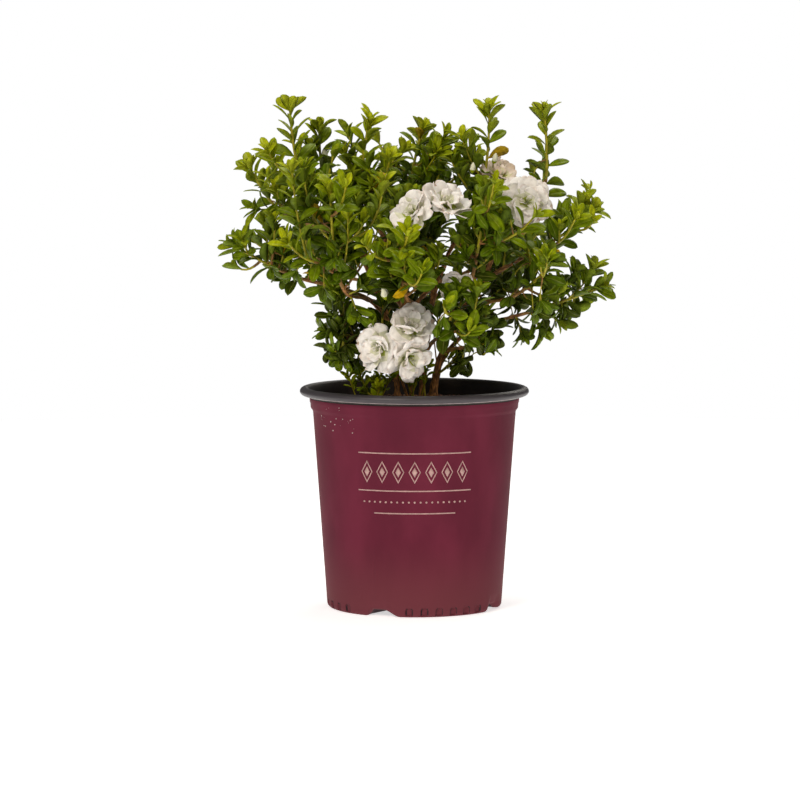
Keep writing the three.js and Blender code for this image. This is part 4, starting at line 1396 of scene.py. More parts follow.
def leaf_tree():
    """A leaf on each point of a mesh, of the shape, length and turn that the point carries."""
    tree, given = geometry_tree("Leaves On Points", {"Leaf Shapes": "Collection"}, LEAF_PARTS)
    face, along, size = (named_value(tree, label, "FLOAT_VECTOR") for label in ("face", "along", "size"))
    settings = {"primary_axis": "Z", "secondary_axis": "X"}
    axes = {"Primary Axis": face, "Secondary Axis": along}
    inputs = {
        "Points": given["Geometry"],
        "Instance": pattern_shapes(tree, given["Leaf Shapes"]),
        "Pick Instance": True,
        "Instance Index": named_value(tree, "shape", "INT"),
        "Rotation": add_node(tree, "FunctionNodeAxesToRotation", settings, axes),
        "Scale": size,
    }
    leaves = add_node(tree, "GeometryNodeInstanceOnPoints", inputs=inputs)
    finish_tree(tree, given, leaves, LEAF_PARTS)
    return tree


def pattern_collection(name, shapes):
    """A collection, outside the scene, of the small shapes that a tree repeats."""
    collection = bpy.data.collections.new(name)
    for number, (vertices, faces, parts) in enumerate(shapes):
        pattern = new_piece(f"{name}_{number:02d}", np.array(vertices) / MM, faces)
        pattern.data.attributes.new("part", "INT", "FACE").data.foreach_set("value", parts)
        bpy.context.scene.collection.objects.unlink(pattern)
        collection.objects.link(pattern)
    return collection


def drop_patterns(collection):
    """Removes a collection of small shapes once they are in their pieces."""
    for pattern in list(collection.objects):
        bpy.data.meshes.remove(pattern.data)
    bpy.data.collections.remove(collection)


def leaf_piece(tint, leaves, tree, shapes, materials):
    """All leaves of one tint as one piece."""
    length = np.array([leaf.length for leaf in leaves])[:, None] * MM
    attributes = {
        "along": ("FLOAT_VECTOR", [leaf.along for leaf in leaves]),
        "face": ("FLOAT_VECTOR", [leaf.face for leaf in leaves]),
        "size": ("FLOAT_VECTOR", np.repeat(length, 3, axis=1)),
        "shape": ("INT", [leaf.shape for leaf in leaves]),
    }
    piece = new_piece(f"leaves_{tint}", [leaf.root for leaf in leaves], attributes=attributes)
    return run_tree(piece, tree, {"Leaf Shapes": shapes, **dict(zip(LEAF_PARTS, materials))})


# Blossom

Whorl = namedtuple("Whorl", "count opening bend length width")
WHORLS = tuple(
    Whorl(*row)
    for row in (
        (5, 1.32, 0.26, 0.5, 0.47),
        (5, 1.02, 0.24, 0.47, 0.43),
        (5, 0.74, 0.36, 0.36, 0.29),
        (3, 0.5, 0.4, 0.22, 0.12),
    )
)
PETAL_ROWS = 12
PETAL_COLUMNS = 14
PETAL_WIDEST = 0.64
PETAL_THICKNESS = 0.4
PETAL_LENGTHS = (0.9, 1.08)
PETAL_WIDTHS = (0.88, 1.1)
PETAL_OPENINGS = (-0.24, 0.22)
PETAL_FOLDS = (-0.5, 0.6)
PETAL_RUFFLES = (1.0, 2.3)
PETAL_TWISTS = (-0.6, 0.6)
PETAL_TURN_SPREAD = 0.24
PETAL_KEYS = (40, 10)
BRUISED_SHARE = 0.16
BRUISED_WHORLS = 2
BRUISE_COLUMNS = (3, 9)
THROAT, BASE, BLADE, EDGE, BRUISE = range(5)
PETAL_PARTS = (THROAT,) * 4 + (BASE,) * 3 + (BLADE,) * 4 + (EDGE,)
STAMEN_COUNT = 6
STAMEN_LEANS = (0.2, 0.5)
STAMEN_SECTIONS = ((0, 0.4), (0.14, 0.3), (0.16, 0.6), (0.2, 0.45))
STAMEN_SIDES = 3
STALK = Habit((1.1, 1.4), 0.2, 0)
STALK_MARKS = 20


def petal_outline(share):
    """Half of a petal's width, from a narrow claw to a broad round end, as a share of its most."""
    if share < PETAL_WIDEST:
        return 0.16 + 0.84 * math.sin(math.pi / 2 * share / PETAL_WIDEST) ** 1.4
    past = (share - PETAL_WIDEST) / (1 - PETAL_WIDEST)
    return math.sqrt(1 - 0.9 * past * past)


def petal_sheet(bloom, whorl, turn, number):
    """The points of one ruffled petal, which opens outwards from the bloom's axis."""
    axis = Vector(bloom.faces).normalized()
    radial = sideways(axis, turn)
    across = axis.cross(radial)
    length = bloom.width * whorl.length * between(*PETAL_LENGTHS, chance(number, Draw.PETAL_LENGTH))
    half_width = bloom.width * whorl.width / 2 * between(*PETAL_WIDTHS, chance(number, Draw.PETAL_WIDTH))
    opening = whorl.opening + between(*PETAL_OPENINGS, chance(number, Draw.PETAL_OPENING))
    fold = between(*PETAL_FOLDS, chance(number, Draw.PETAL_FOLD))
    ruffle = between(*PETAL_RUFFLES, chance(number, Draw.PETAL_RUFFLE))
    phase = TURN * chance(number, Draw.PETAL_PHASE)
    twist = between(*PETAL_TWISTS, chance(number, Draw.PETAL_TWIST))
    spine = Vector(bloom.at) - axis * bloom.width * 0.1 + radial * 1.5
    points = []
    for i in range(PETAL_ROWS + 1):
        share = i / PETAL_ROWS
        angle = opening + whorl.bend * (2 * share * share - 0.6)
        out = radial * math.sin(angle) + axis * math.cos(angle)
        upper = axis * math.sin(angle) - radial * math.cos(angle)
        if i:
            spine = spine + out * length / PETAL_ROWS
        roll = twist * share
        side = across * math.cos(roll) + upper * math.sin(roll)
        over = upper * math.cos(roll) - across * math.sin(roll)
        wide = half_width * petal_outline(share)
        for j in range(PETAL_COLUMNS + 1):
            v = 2 * j / PETAL_COLUMNS - 1
            margin = v * v * math.sin(1.7 * phase + 7 * share + (2 if v > 0 else 0))
            end = share**4 * math.sin(phase + 4.4 * v)
            wave = ruffle * share * (margin + 0.8 * end + 0.4 * math.sin(phase + 2.6 * v + 2 * share))
            crinkle = noise.noise(Vector((v * 2.2, share * 2.6, number * 0.73))) * 1.7 * share
            channel = -0.9 * math.exp(-((v / 0.2) ** 2)) * (1 - share)
            notch = -0.05 * length * share**6 * math.exp(-((v / 0.25) ** 2))
            lift = fold * v * v * wide + wave + crinkle + channel
            points.append(spine + side * v * wide + over * lift + out * notch)
    return points


def petal_part(row, column, bruise):
    """Which colour a patch of a petal has: some petals have a small tan bruise near their end."""
    if bruise and math.hypot(row - PETAL_ROWS + 1.6, (column - bruise) * 0.8) < 1.3:
        return BRUISE
    return PETAL_PARTS[row]


def stamen(bloom, number, vertices, faces):
    """One thread from the bloom's throat, three-sided, with a swollen end."""
    axis = Vector(bloom.faces).normalized()
    lean = between(*STAMEN_LEANS, chance(number, Draw.STAMEN_LEAN))
    out = (axis + sideways(axis, TURN * number / STAMEN_COUNT) * lean).normalized()
    start = Vector(bloom.at) - axis * bloom.width * 0.06
    faces.extend(tube_faces(len(vertices), len(STAMEN_SECTIONS), STAMEN_SIDES))
    for reach, radius in STAMEN_SECTIONS:
        centre = start + out * bloom.width * reach
        turns = [TURN * j / STAMEN_SIDES for j in range(STAMEN_SIDES)]
        vertices.extend(centre + sideways(out, turn) * radius for turn in turns)


def petal_piece(name, blooms, materials):
    """The petals of these blooms as one piece of thin closed shells."""
    vertices, faces, parts = [], [], []
    columns = PETAL_COLUMNS + 1
    for bloom in blooms:
        key = BLOOMS.index(bloom)
        for w, whorl in enumerate(WHORLS):
            for p in range(whorl.count):
                number = key * PETAL_KEYS[0] + w * PETAL_KEYS[1] + p
                spread = PETAL_TURN_SPREAD * chance(number, Draw.PETAL_TURN)
                turn = TURN * (p + 0.5 * (w % 2) + spread) / whorl.count + key
                bruised = w < BRUISED_WHORLS and chance(number, Draw.BRUISED) < BRUISED_SHARE
                column = BRUISE_COLUMNS[0] + int(BRUISE_COLUMNS[1] * chance(number, Draw.BRUISE_PLACE))
                bruise = column if bruised else 0
                first = len(vertices)
                vertices.extend(petal_sheet(bloom, whorl, turn, number))
                for i in range(PETAL_ROWS):
                    for j in range(PETAL_COLUMNS):
                        a = first + i * columns + j
                        faces.append((a, a + columns, a + columns + 1, a + 1))
                        parts.append(petal_part(i, j, bruise))
    piece = new_piece(name, vertices, faces, materials=materials, parts=parts)
    solidify = piece.modifiers.new("Thickness", "SOLIDIFY")
    solidify.thickness = PETAL_THICKNESS * MM
    solidify.offset = 0
    return plain_mesh(piece)


def stamens_piece(material):
    """The green-yellow threads in the throat of every bloom."""
    vertices, faces = [], []
    for bloom in BLOOMS:
        for number in range(STAMEN_COUNT):
            stamen(bloom, number, vertices, faces)
    return new_piece("stamens", vertices, faces, materials=(material,))


def stalk_shoots():
    """The green stalk of each bloom, from its mass's leader or limb to the bloom's back."""
    made = []
    rows = {row.name: row for row in GROWTH}
    for bloom in BLOOMS:
        back = Vector(bloom.at) - Vector(bloom.faces).normalized() * bloom.width * 0.16
        leader = axis_curve(rows[bloom.mass], 20)
        marks = [leader.at(i / STALK_MARKS) for i in range(STALK_MARKS - 2)]
        start = min(marks, key=lambda mark: (mark - back).length + 0.6 * max(0.0, mark.z - back.z))
        middle = start.lerp(back, 0.5) - Vector(bloom.faces).normalized() * 9
        made.append(Shoot(Curve(start, middle, back), STALK.radii, STALK.green_from))
    return made


Bud = namedtuple("Bud", "at points length")
BUDS = (
    Bud((-30, -112, 338), (-0.2, -0.4, 0.9), 17),
    Bud((84, -30, 478), (0.2, -0.3, 0.9), 13),
    Bud((60, -96, 470), (0.1, -0.2, 1.0), 12),
    Bud((-96, 60, 480), (-0.2, 0.3, 0.9), 14),
)


BUD_STATIONS = 9
BUD_SIDES = 10
BUD_GREEN_STATIONS = 3


def bud_piece(materials):
    """Pointed flower buds: each a twisted spindle of furled petals, with green scales at its foot."""
    vertices, faces, parts = [], [], []
    for bud in BUDS:
        axis = Vector(bud.points).normalized()
        faces.extend(tube_faces(len(vertices), BUD_STATIONS + 1, BUD_SIDES))
        for i in range(BUD_STATIONS + 1):
            share = i / BUD_STATIONS
            girth = bud.length * 0.21 * math.sin(math.pi * share**0.8) ** 0.7 + 0.15
            centre = Vector(bud.at) + axis * share * bud.length
            for j in range(BUD_SIDES):
                turn = TURN * j / BUD_SIDES + share * 1.6
                ridge = 1 + 0.14 * (1 if j % 2 else -1) * math.sin(math.pi * share)
                vertices.append(centre + sideways(axis, turn) * girth * ridge)
        parts.extend(int(i >= BUD_GREEN_STATIONS) for i in range(BUD_STATIONS) for _ in range(BUD_SIDES))
        parts.extend((0, 1))
    return new_piece("flower_buds", vertices, faces, materials=materials, parts=parts)


# The pot and its filling

POT_SEGMENTS = 720
SHARP_EDGE_DEG = 38
SKIN, LINING, LIP, LIP_EDGE, SHADE_AND_DIRT = range(5)


def body_radius(level):
    return between(BODY_FOOT_RADIUS, BODY_TOP_RADIUS, (level - FOOT_CORNER) / (STEP_FOOT - FOOT_CORNER))


def arc(centre, half_width, half_height, from_deg, to_deg, steps):
    turns = [math.radians(between(from_deg, to_deg, i / steps)) for i in range(steps + 1)]
    return [(centre[0] + half_width * math.cos(a), centre[1] + half_height * math.sin(a)) for a in turns]


def pot_rings():
    """The pot's section, from the middle of its underside up and over the lip: radius, level and part."""
    foot, top = COLLAR_FOOT, COLLAR_TOP
    skin_levels = [*range(6, 16), *range(18, 66, 8), *range(67, round(STEP_FOOT) - 8, 24)]
    corner = arc((BODY_FOOT_RADIUS - FOOT_CORNER, FOOT_CORNER), FOOT_CORNER, FOOT_CORNER, -90, 0, 6)
    centre = (LIP_CENTRE_RADIUS, LIP_CENTRE_LEVEL)
    # The pale band along the lip's lower edge is a painted highlight.
    edge = arc(centre, LIP_HALF_WIDTH, LIP_HALF_HEIGHT, -80, -52, 3)
    band = arc(centre, LIP_HALF_WIDTH, LIP_HALF_HEIGHT, -47, 90, 10)
    sections = (
        # The underside takes the darker plastic: painted shade under the raised floor, seen through the
        # notches, and dirt.
        (SHADE_AND_DIRT, [(0.5, 0.6), *[(r, 0.6) for r in range(16, 81, 8)], (84, 0.4), (86, 0)]),
        (SKIN, [*corner, *[(body_radius(z), z) for z in skin_levels]]),
        (SKIN, [(body_radius(STEP_FOOT - 1.2), STEP_FOOT - 1.2)]),
        (SKIN, [(body_radius(STEP_FOOT) + 0.25, STEP_FOOT)]),
        (SKIN, [(COLLAR_FOOT_RADIUS - 0.5, foot - 0.8), (COLLAR_FOOT_RADIUS, foot + 0.4)]),
        (SKIN, [(COLLAR_FOOT_RADIUS + 0.4, foot + 5.2), (COLLAR_FOOT_RADIUS + 1.0, foot + 6.2)]),
        (SKIN, [(COLLAR_RADIUS - 0.2, top - 2.6)]),
        # The black on the collar's top, just under the lip, is painted shadow cast by the lip.
        (LINING, [(COLLAR_RADIUS - 0.5, top - 2.2), (COLLAR_RADIUS + 0.4, top + 0.4)]),
        (LIP_EDGE, edge),
        (LIP, [*band, (LIP_CENTRE_RADIUS - 2.6, POT_HEIGHT - 0.5)]),
        (LINING, [(LIP_CENTRE_RADIUS - 4.4, POT_HEIGHT - 2.2), (COLLAR_RADIUS - WALL + 0.4, top + 2)]),
        (LINING, [(COLLAR_RADIUS - WALL, top - 2), (COLLAR_FOOT_RADIUS - WALL, foot)]),
        (LINING, [(BODY_TOP_RADIUS - WALL, STEP_FOOT), (body_radius(14) - WALL, 14), (0.5, 12)]),
    )
    return [(radius, level, part) for part, points in sections for radius, level in points]


def arch_depth(turn_deg, level):
    """How deep the pressed arches round the foot are at a turn from the front and a level."""
    quarter = 360 / NOTCH_COUNT
    past = (turn_deg - NOTCH_START_DEG) % 360
    count = ARCH_COUNTS[int(past / quarter) % len(ARCH_COUNTS)]
    steps = (past % quarter - quarter / 2 - ARCH_LEAN_DEG) / ARCH_STEP_DEG + (count - 1) / 2
    nearest = min(count - 1, max(0, round(steps)))
    off = (steps - nearest) * ARCH_STEP_DEG * math.radians(1) * BODY_FOOT_RADIUS
    high = max(0.0, level - ARCH_HEIGHT + ARCH_HALF_WIDTH) / ARCH_HALF_WIDTH
    inside = 1 - math.hypot(off / ARCH_HALF_WIDTH, high)
    return ARCH_DEPTH * ease(inside / ARCH_BEVEL) * min(1.0, level / 2)


def notch_rise(turn_deg):
    """How far a notch lifts the pot's foot: one steep side, a level top and one long gentle side."""
    quarter = 360 / NOTCH_COUNT
    off = (turn_deg - NOTCH_START_DEG + quarter / 2) % quarter - quarter / 2
    steep, gentle = NOTCH_STEEP_SIDE, NOTCH_GENTLE_SIDE
    up = ease((off - steep[0]) / (steep[1] - steep[0]))
    return NOTCH_HEIGHT * up * ease((gentle[1] - off) / (gentle[1] - gentle[0]))


def foot_point(turn_deg, radius, level):
    """A point of the pot's outer skin near its foot, with the arches, the notches and the mould's seam."""
    if radius > BODY_FOOT_RADIUS - 1:
        radius -= arch_depth(turn_deg, level)
        if SEAM_LEVELS[0] < level < SEAM_LEVELS[1]:
            radius -= SEAM_DEPTH * max(0.0, 1 - abs(turn_deg - 360 - SEAM_DEG) / SEAM_HALF_DEG)
    inward = (radius - NOTCH_INNER_RADIUS) / (BODY_FOOT_RADIUS - FOOT_CORNER - NOTCH_INNER_RADIUS)
    rise = notch_rise(turn_deg)
    sunk = NOTCH_SUNK * rise / NOTCH_HEIGHT * ease(1 - level / NOTCH_SUNK_LEVEL)
    return radius - sunk, level + rise * ease(inward) * max(0.0, 1 - level / NOTCH_FADES_LEVEL)


def pot_piece(materials):
    """The pot: a turned shell with arches pressed into its foot and four notches that lift its edge."""
    rings = pot_rings()
    outer = max(range(len(rings)), key=lambda i: rings[i][0])
    vertices, reaches = [], []
    for i, (radius, level, _) in enumerate(rings):
        shaped = i < outer and level < SEAM_LEVELS[1]
        reaches.append([])
        for j in range(POT_SEGMENTS):
            turn_deg = 360 * j / POT_SEGMENTS
            r, z = foot_point(turn_deg, radius, level) if shaped else (radius, level)
            a = math.radians(turn_deg)
            vertices.append((r * math.sin(a), -r * math.cos(a), z))
            reaches[-1].append(r)
    parts = []
    for i in range(len(rings) - 1):
        for j in range(POT_SEGMENTS):
            # The steep walls of the pressed arches take the darker plastic: painted shade in the recesses,
            # and dirt.
            on_arch_wall = i < outer and abs(reaches[i][j] - reaches[i][j - 1]) > ARCH_WALL_DROP
            parts.append(SHADE_AND_DIRT if on_arch_wall else rings[i + 1][2])
    parts.extend((SKIN, LINING))
    faces = tube_faces(0, len(rings), POT_SEGMENTS)
    piece = new_piece("nursery_pot", vertices, faces, materials=materials, parts=parts)
    piece.data.set_sharp_from_angle(angle=math.radians(SHARP_EDGE_DEG))
    return piece


def outer_radius(level):
    """The radius of the pot's body or, over the step, of its collar."""
    if level < STEP_FOOT:
        return body_radius(level)
    share = max(0.0, level - COLLAR_FOOT) / (COLLAR_TOP - COLLAR_FOOT)
    return between(COLLAR_FOOT_RADIUS, COLLAR_RADIUS, share) + 0.5


def on_pot(arc_mm, level, proud):
    """A point on the pot's outer skin, by its distance round from the front and its level."""
    radius = outer_radius(level)
    turn = arc_mm / radius
    return ((radius + proud) * math.sin(turn), -(radius + proud) * math.cos(turn), level)


FILM_SUNK = 0.3
PRINT_PROUD = 0.12
SPOT_PROUD = 0.1


def film_patch(outline, vertices, faces, proud=PRINT_PROUD):
    """A thin raised patch of print or mineral on the pot's body, from its outline."""
    *walls, under, over = tube_faces(len(vertices), 2, len(outline))
    faces.extend((under, over, *walls))
    for height in (-FILM_SUNK, proud):
        vertices.extend(on_pot(x, z, height) for x, z in outline)


def disc(x, z, radius, sides, flatness=1.0):
    turns = [TURN * j / sides for j in range(sides)]
    return [(x + radius * math.cos(a), z + radius * flatness * math.sin(a)) for a in turns]


PRINT_HALF_WIDTH = 63.0
PRINT_TOP = 176.0
PRINT_FOOT = 136.0
PRINT_MIDDLE = (PRINT_TOP + PRINT_FOOT) / 2
PRINT_DOTS_LEVEL = 124.0
PRINT_LAST_LEVEL = 112.0
PRINT_LAST_SHARE = 0.7
PRINT_LINE = 1.3
RULE_OVERLAP = 0.02
LOZENGE_COUNT = 7
LOZENGE_PITCH = 17.5
LOZENGE_HALF_WIDTH = 6.5
LOZENGE_HALF_HEIGHT = 12.0
LOZENGE_INSIDE = 0.82
LOZENGE_HEART = 0.45
DOT_COUNT = 19
DOT_PITCH = 6.2
DOT_RADIUS = 1.1
DOT_SIDES = 10


def rule_patches(level, half, vertices, faces):
    """A level line in short patches that follow the pot's round."""
    pieces = round(half)
    for i in range(pieces):
        x0 = between(-half, half, i / pieces)
        x1 = between(-half, half, (i + 1) / pieces) + RULE_OVERLAP
        low, high = level - PRINT_LINE / 2, level + PRINT_LINE / 2
        film_patch(((x0, low), (x1, low), (x1, high), (x0, high)), vertices, faces)


def lozenge(x, size):
    z, wide, high = PRINT_MIDDLE, LOZENGE_HALF_WIDTH * size, LOZENGE_HALF_HEIGHT * size
    return (x - wide, z), (x, z - high), (x + wide, z), (x, z + high)


def print_piece(material):
    """A plain printed ornament: three rules, a row of lozenges between two of them, and a row of dots."""
    vertices, faces = [], []
    rule_patches(PRINT_TOP, PRINT_HALF_WIDTH, vertices, faces)
    rule_patches(PRINT_FOOT, PRINT_HALF_WIDTH, vertices, faces)
    rule_patches(PRINT_LAST_LEVEL, PRINT_HALF_WIDTH * PRINT_LAST_SHARE, vertices, faces)
    for i in range(LOZENGE_COUNT):
        x = (i - LOZENGE_COUNT // 2) * LOZENGE_PITCH
        outside, inside = lozenge(x, 1.0), lozenge(x, LOZENGE_INSIDE)
        for j in range(4):
            k = (j + 1) % 4
            film_patch((outside[j], outside[k], inside[k], inside[j]), vertices, faces)
        film_patch(lozenge(x, LOZENGE_HEART), vertices, faces)
    for i in range(DOT_COUNT):
        x = (i - DOT_COUNT // 2) * DOT_PITCH
        film_patch(disc(x, PRINT_DOTS_LEVEL, DOT_RADIUS, DOT_SIDES), vertices, faces)
    return new_piece("printed_ornament", vertices, faces, materials=(material,))


# The dried water spots: how many, where they lie round and up the pot, their sizes, and how far those that
# would lie on the pot's step are moved down.
SPOT_COUNT = 24
SPOT_PLACES = (-130, -66)
SPOT_LEVELS = (196, 222)
SPOT_RADII = (0.22, 0.85)
SPOT_SIDES = 7
SPOT_FLATNESS = 0.9
SPOT_STEP_ROOM = 2
SPOT_DROP = 6


def spots_piece(material):
    """Pale dried water spots on the pot's shoulder, left of the front."""
    vertices, faces = [], []
    for i in range(SPOT_COUNT):
        x = between(*SPOT_PLACES, chance(i, Draw.SPOT_ACROSS))
        z = between(*SPOT_LEVELS, chance(i, Draw.SPOT_LEVEL))
        radius = between(*SPOT_RADII, chance(i, Draw.SPOT_SIZE) ** 2)
        if STEP_FOOT - SPOT_STEP_ROOM < z < COLLAR_FOOT + SPOT_STEP_ROOM:
            z -= SPOT_DROP
        film_patch(disc(x, z, radius, SPOT_SIDES, SPOT_FLATNESS), vertices, faces, SPOT_PROUD)
    return new_piece("water_spots", vertices, faces, materials=(material,))


BED_RINGS = 34
BED_SIDES = 96
BED_DROP = 1.6
BED_EDGE_DROP = 3.2
BED_FOOT_LEVEL = 14


def bed_piece(material):
    """The potting mix: a heap of fine bark that fills the pot, rough on top and lower at its edge."""
    rings, sides = BED_RINGS, BED_SIDES
    vertices, faces = [(0, 0, SOIL_LEVEL - 1)], []
    for i in range(1, rings + 1):
        radius = SOIL_RADIUS * i / rings
        for j in range(sides):
            turn = TURN * j / sides
            x, y = radius * math.cos(turn), radius * math.sin(turn)
            coarse = noise.noise(Vector((x / 9, y / 9, 0))) * 1.6
            fine = noise.noise(Vector((x / 3.2, y / 3.2, 4))) * 0.8
            level = SOIL_LEVEL - BED_DROP + (coarse + fine) - BED_EDGE_DROP * (i / rings) ** 6
            vertices.append((x, y, level))
    for level, inside in ((STEP_FOOT, BODY_TOP_RADIUS), (BED_FOOT_LEVEL, body_radius(BED_FOOT_LEVEL))):
        radius = inside - WALL - GAP
        for j in range(sides):
            turn = TURN * j / sides
            vertices.append((radius * math.cos(turn), radius * math.sin(turn), level))
    for j in range(sides):
        faces.append((0, 1 + j, 1 + (j + 1) % sides))
    for i in range(rings + 1):
        for j in range(sides):
            a, b = 1 + i * sides + j, 1 + i * sides + (j + 1) % sides
            faces.append((a, a + sides, b + sides, b))
    last = 1 + (rings + 1) * sides
    faces.append(tuple(range(last + sides - 1, last - 1, -1)))
    return new_piece("potting_mix_bed", vertices, faces, materials=(material,))


FLAKE_COUNT = 7
FLAKE_SIDES = 6
FLAKE_REACHES = (0.36, 0.56)
FLAKE_TAPER = 0.86
FLAKE_NARROWNESS = 0.5
FLAKE_THICKNESS = 0.17
FLAKE_LIFT = 0.12
FLAKE_SMALLEST = 0.3
FLAKE_EDGE_ROOM = 9
FLAKE_LEAST_LEVEL = 0.4
FLAKE_KINDS = ("Brown Bark", "Dark Bark", "Pale Fibre")


def flake_pattern(number):
    """One flake of bark of about unit length: a thin slab with a broken six-sided outline."""
    vertices = []
    for level, taper in ((-0.5, 1), (0.5, FLAKE_TAPER)):
        for j in range(FLAKE_SIDES):
            turn = TURN * j / FLAKE_SIDES + 0.5 * (chance(number, j, Draw.FLAKE_TURN) - 0.5)
            reach = between(*FLAKE_REACHES, chance(number, j, Draw.FLAKE_REACH)) * taper
            across = reach * FLAKE_NARROWNESS
            height = level * FLAKE_THICKNESS + FLAKE_LIFT * (chance(number, j, Draw.FLAKE_LIFT) - 0.5)
            vertices.append(Vector((reach * math.cos(turn), across * math.sin(turn), height)))
    *walls, under, over = tube_faces(0, 2, FLAKE_SIDES)
    faces = [under, over, *walls]
    return vertices, faces, [number % len(FLAKE_KINDS)] * len(faces)


def flakes_tree():
    """Loose flakes scattered on the level faces of a mesh, each turned and tilted by chance."""
    sizes = dict.fromkeys(("Per Square Metre", "Smallest", "Largest", "Furthest Out"), "Float")
    tree, given = geometry_tree("Flakes On Top", {"Flakes": "Collection", **sizes}, FLAKE_KINDS)
    inputs = {"Vector": add_node(tree, "GeometryNodeInputNormal")}
    up = add_node(tree, "ShaderNodeSeparateXYZ", inputs=inputs).outputs["Z"]
    limits = {"A": up, "B": FLAKE_LEAST_LEVEL}
    level = add_node(tree, "FunctionNodeCompare", {"operation": "GREATER_THAN"}, limits)
    flat = vector_math(tree, "MULTIPLY", {0: add_node(tree, "GeometryNodeInputPosition"), 1: (1, 1, 0)})
    limits = {"A": vector_math(tree, "LENGTH", {0: flat}).outputs["Value"], "B": given["Furthest Out"]}
    inside = add_node(tree, "FunctionNodeCompare", {"operation": "LESS_THAN"}, limits)
    chosen = add_node(tree, "FunctionNodeBooleanMath", {"operation": "AND"}, {0: level, 1: inside})
    density = given["Per Square Metre"]
    inputs = {"Mesh": given["Geometry"], "Selection": chosen, "Density": density, "Seed": SEED}
    points = add_node(tree, "GeometryNodeDistributePointsOnFaces", inputs=inputs)
    inputs = {"Min": (-0.5, -0.5, 0), "Max": (0.5, 0.5, TURN), "Seed": SEED + 1}
    tilt = add_node(tree, "FunctionNodeRandomValue", {"data_type": "FLOAT_VECTOR"}, inputs)
    inputs = {"Rotation": points.outputs["Rotation"], "Rotate By": tilt}
    turn = add_node(tree, "FunctionNodeRotateRotation", {"rotation_space": "LOCAL"}, inputs)
    inputs = {"Min_001": given["Smallest"], "Max_001": given["Largest"], "Seed": SEED + 2}
    size = add_node(tree, "FunctionNodeRandomValue", {"data_type": "FLOAT"}, inputs).outputs[1]
    inputs = {
        "Points": points,
        "Instance": pattern_shapes(tree, given["Flakes"]),
        "Pick Instance": True,
        "Rotation": turn,
        "Scale": size,
    }
    scattered = add_node(tree, "GeometryNodeInstanceOnPoints", inputs=inputs)
    finish_tree(tree, given, scattered, FLAKE_KINDS)
    return tree


def flakes_piece(bed, settings, materials):
    """Loose flakes of bark on the bed of potting mix, as one piece."""
    flakes = add_object("bark_flakes", bed.data.copy())
    shapes = pattern_collection("bark_flake", [flake_pattern(number) for number in range(FLAKE_COUNT)])
    values = {
        "Flakes": shapes,
        "Per Square Metre": settings.flakes,
        "Smallest": settings.flake_size * FLAKE_SMALLEST,
        "Largest": settings.flake_size,
        "Furthest Out": (SOIL_RADIUS - FLAKE_EDGE_ROOM) * MM,
        **dict(zip(FLAKE_KINDS, materials)),
    }
    run_tree(flakes, flakes_tree(), values)
    flakes.data.polygons.foreach_set("use_smooth", np.zeros(len(flakes.data.polygons), dtype=bool))
    drop_patterns(shapes)
    return flakes


# Sizes and colours that a user would change


def colour_property(name, description, hex_colour):
    """A colour setting, from an sRGB hex colour."""
    return FloatVectorProperty(
        name=name,
        description=description,
        subtype="COLOR",
        size=4,
        min=0,
        max=1,
        default=linear(hex_colour),
    )


def length_property(name, description, default, least):
    """A length setting, in metres."""
    return FloatProperty(name=name, description=description, default=default, min=least, unit="LENGTH")


class AzaleaPotSettings(bpy.types.PropertyGroup):
    """The pot's colours, and its filling."""

    plastic_colour: colour_property("Plastic", "Outer skin of the pot", "#5f2132")
    lining_colour: colour_property("Lining", "Inner skin of the pot", "#201916")
    lip_colour: colour_property("Lip", "Rolled lip", "#3a3539")
    # A painted highlight along the lip's lower edge.
    lip_edge_highlight_colour: colour_property("Lip Edge", "Scuffed lower edge of the lip", "#9c9290")
    ink_colour: colour_property("Ornament", "Printed ornament", "#b8938d")
    mix_colour: colour_property("Mix", "Bark in the potting mix", "#5c3622")
    fibre_colour: colour_property("Fibres", "Pale fibres in the potting mix", "#8f6a4b")
    flakes: FloatProperty(
        name="Flakes", description="Flakes of bark on each square metre of the mix", default=52000, min=0
    )
    flake_size: length_property("Flake Size", "Length of the largest flakes", 9 * MM, MM)


class AzaleaPlantSettings(bpy.types.PropertyGroup):
    """How fine the shrub's growth is, and its colours."""

    lime_leaf_colour: colour_property("Lime Leaves", "Youngest leaves, at the tips", LEAF_TINTS["lime"])
    spring_leaf_colour: colour_property("Spring Leaves", "Young leaves in full light", LEAF_TINTS["spring"])
    mid_leaf_colour: colour_property("Mid Leaves", "Full-grown leaves", LEAF_TINTS["mid"])
    deep_leaf_colour: colour_property("Deep Leaves", "Older leaves", LEAF_TINTS["deep"])
    dark_leaf_colour: colour_property("Dark Leaves", "Shaded leaves inside", LEAF_TINTS["dark"])
    turning_leaf_colour: colour_property("Turning Leaves", "The few yellow leaves", LEAF_TINTS["turning"])
    bark_colour: colour_property("Bark", "Old bark", "#8e6236")
    twig_colour: colour_property("Twigs", "Second-year wood", "#8a6630")
    shoot_colour: colour_property("Shoots", "Skin of young shoots", "#9c941a")
    petal_colour: colour_property("Petals", "Blades of fresh petals", "#f2ebe3")
    faded_colour: colour_property("Faded Petals", "Blades of fading petals", "#dfcdbb")
    throat_colour: colour_property("Throat", "Foot of the petals", "#a9b446")
    leaf_length: length_property("Leaf Length", "Length of a full-grown leaf", 25.5 * MM, 8 * MM)
    leaf_spacing: length_property("Leaf Spacing", "From leaf to leaf along a shoot", 5.7 * MM, 2 * MM)
    shoot_spacing: length_property("Shoot Spacing", "From shoot to shoot along a twig", 33 * MM, 5 * MM)
    spur_spacing: length_property("Spur Spacing", "From tuft to tuft inside the crown", 11 * MM, 4 * MM)
    bark_relief: length_property("Bark Relief", "Height of the ridges on old bark", 1.1 * MM, 0)
    limb_sides: IntProperty(name="Limb Sides", description="Sides of a stem or bough", default=18, min=5)


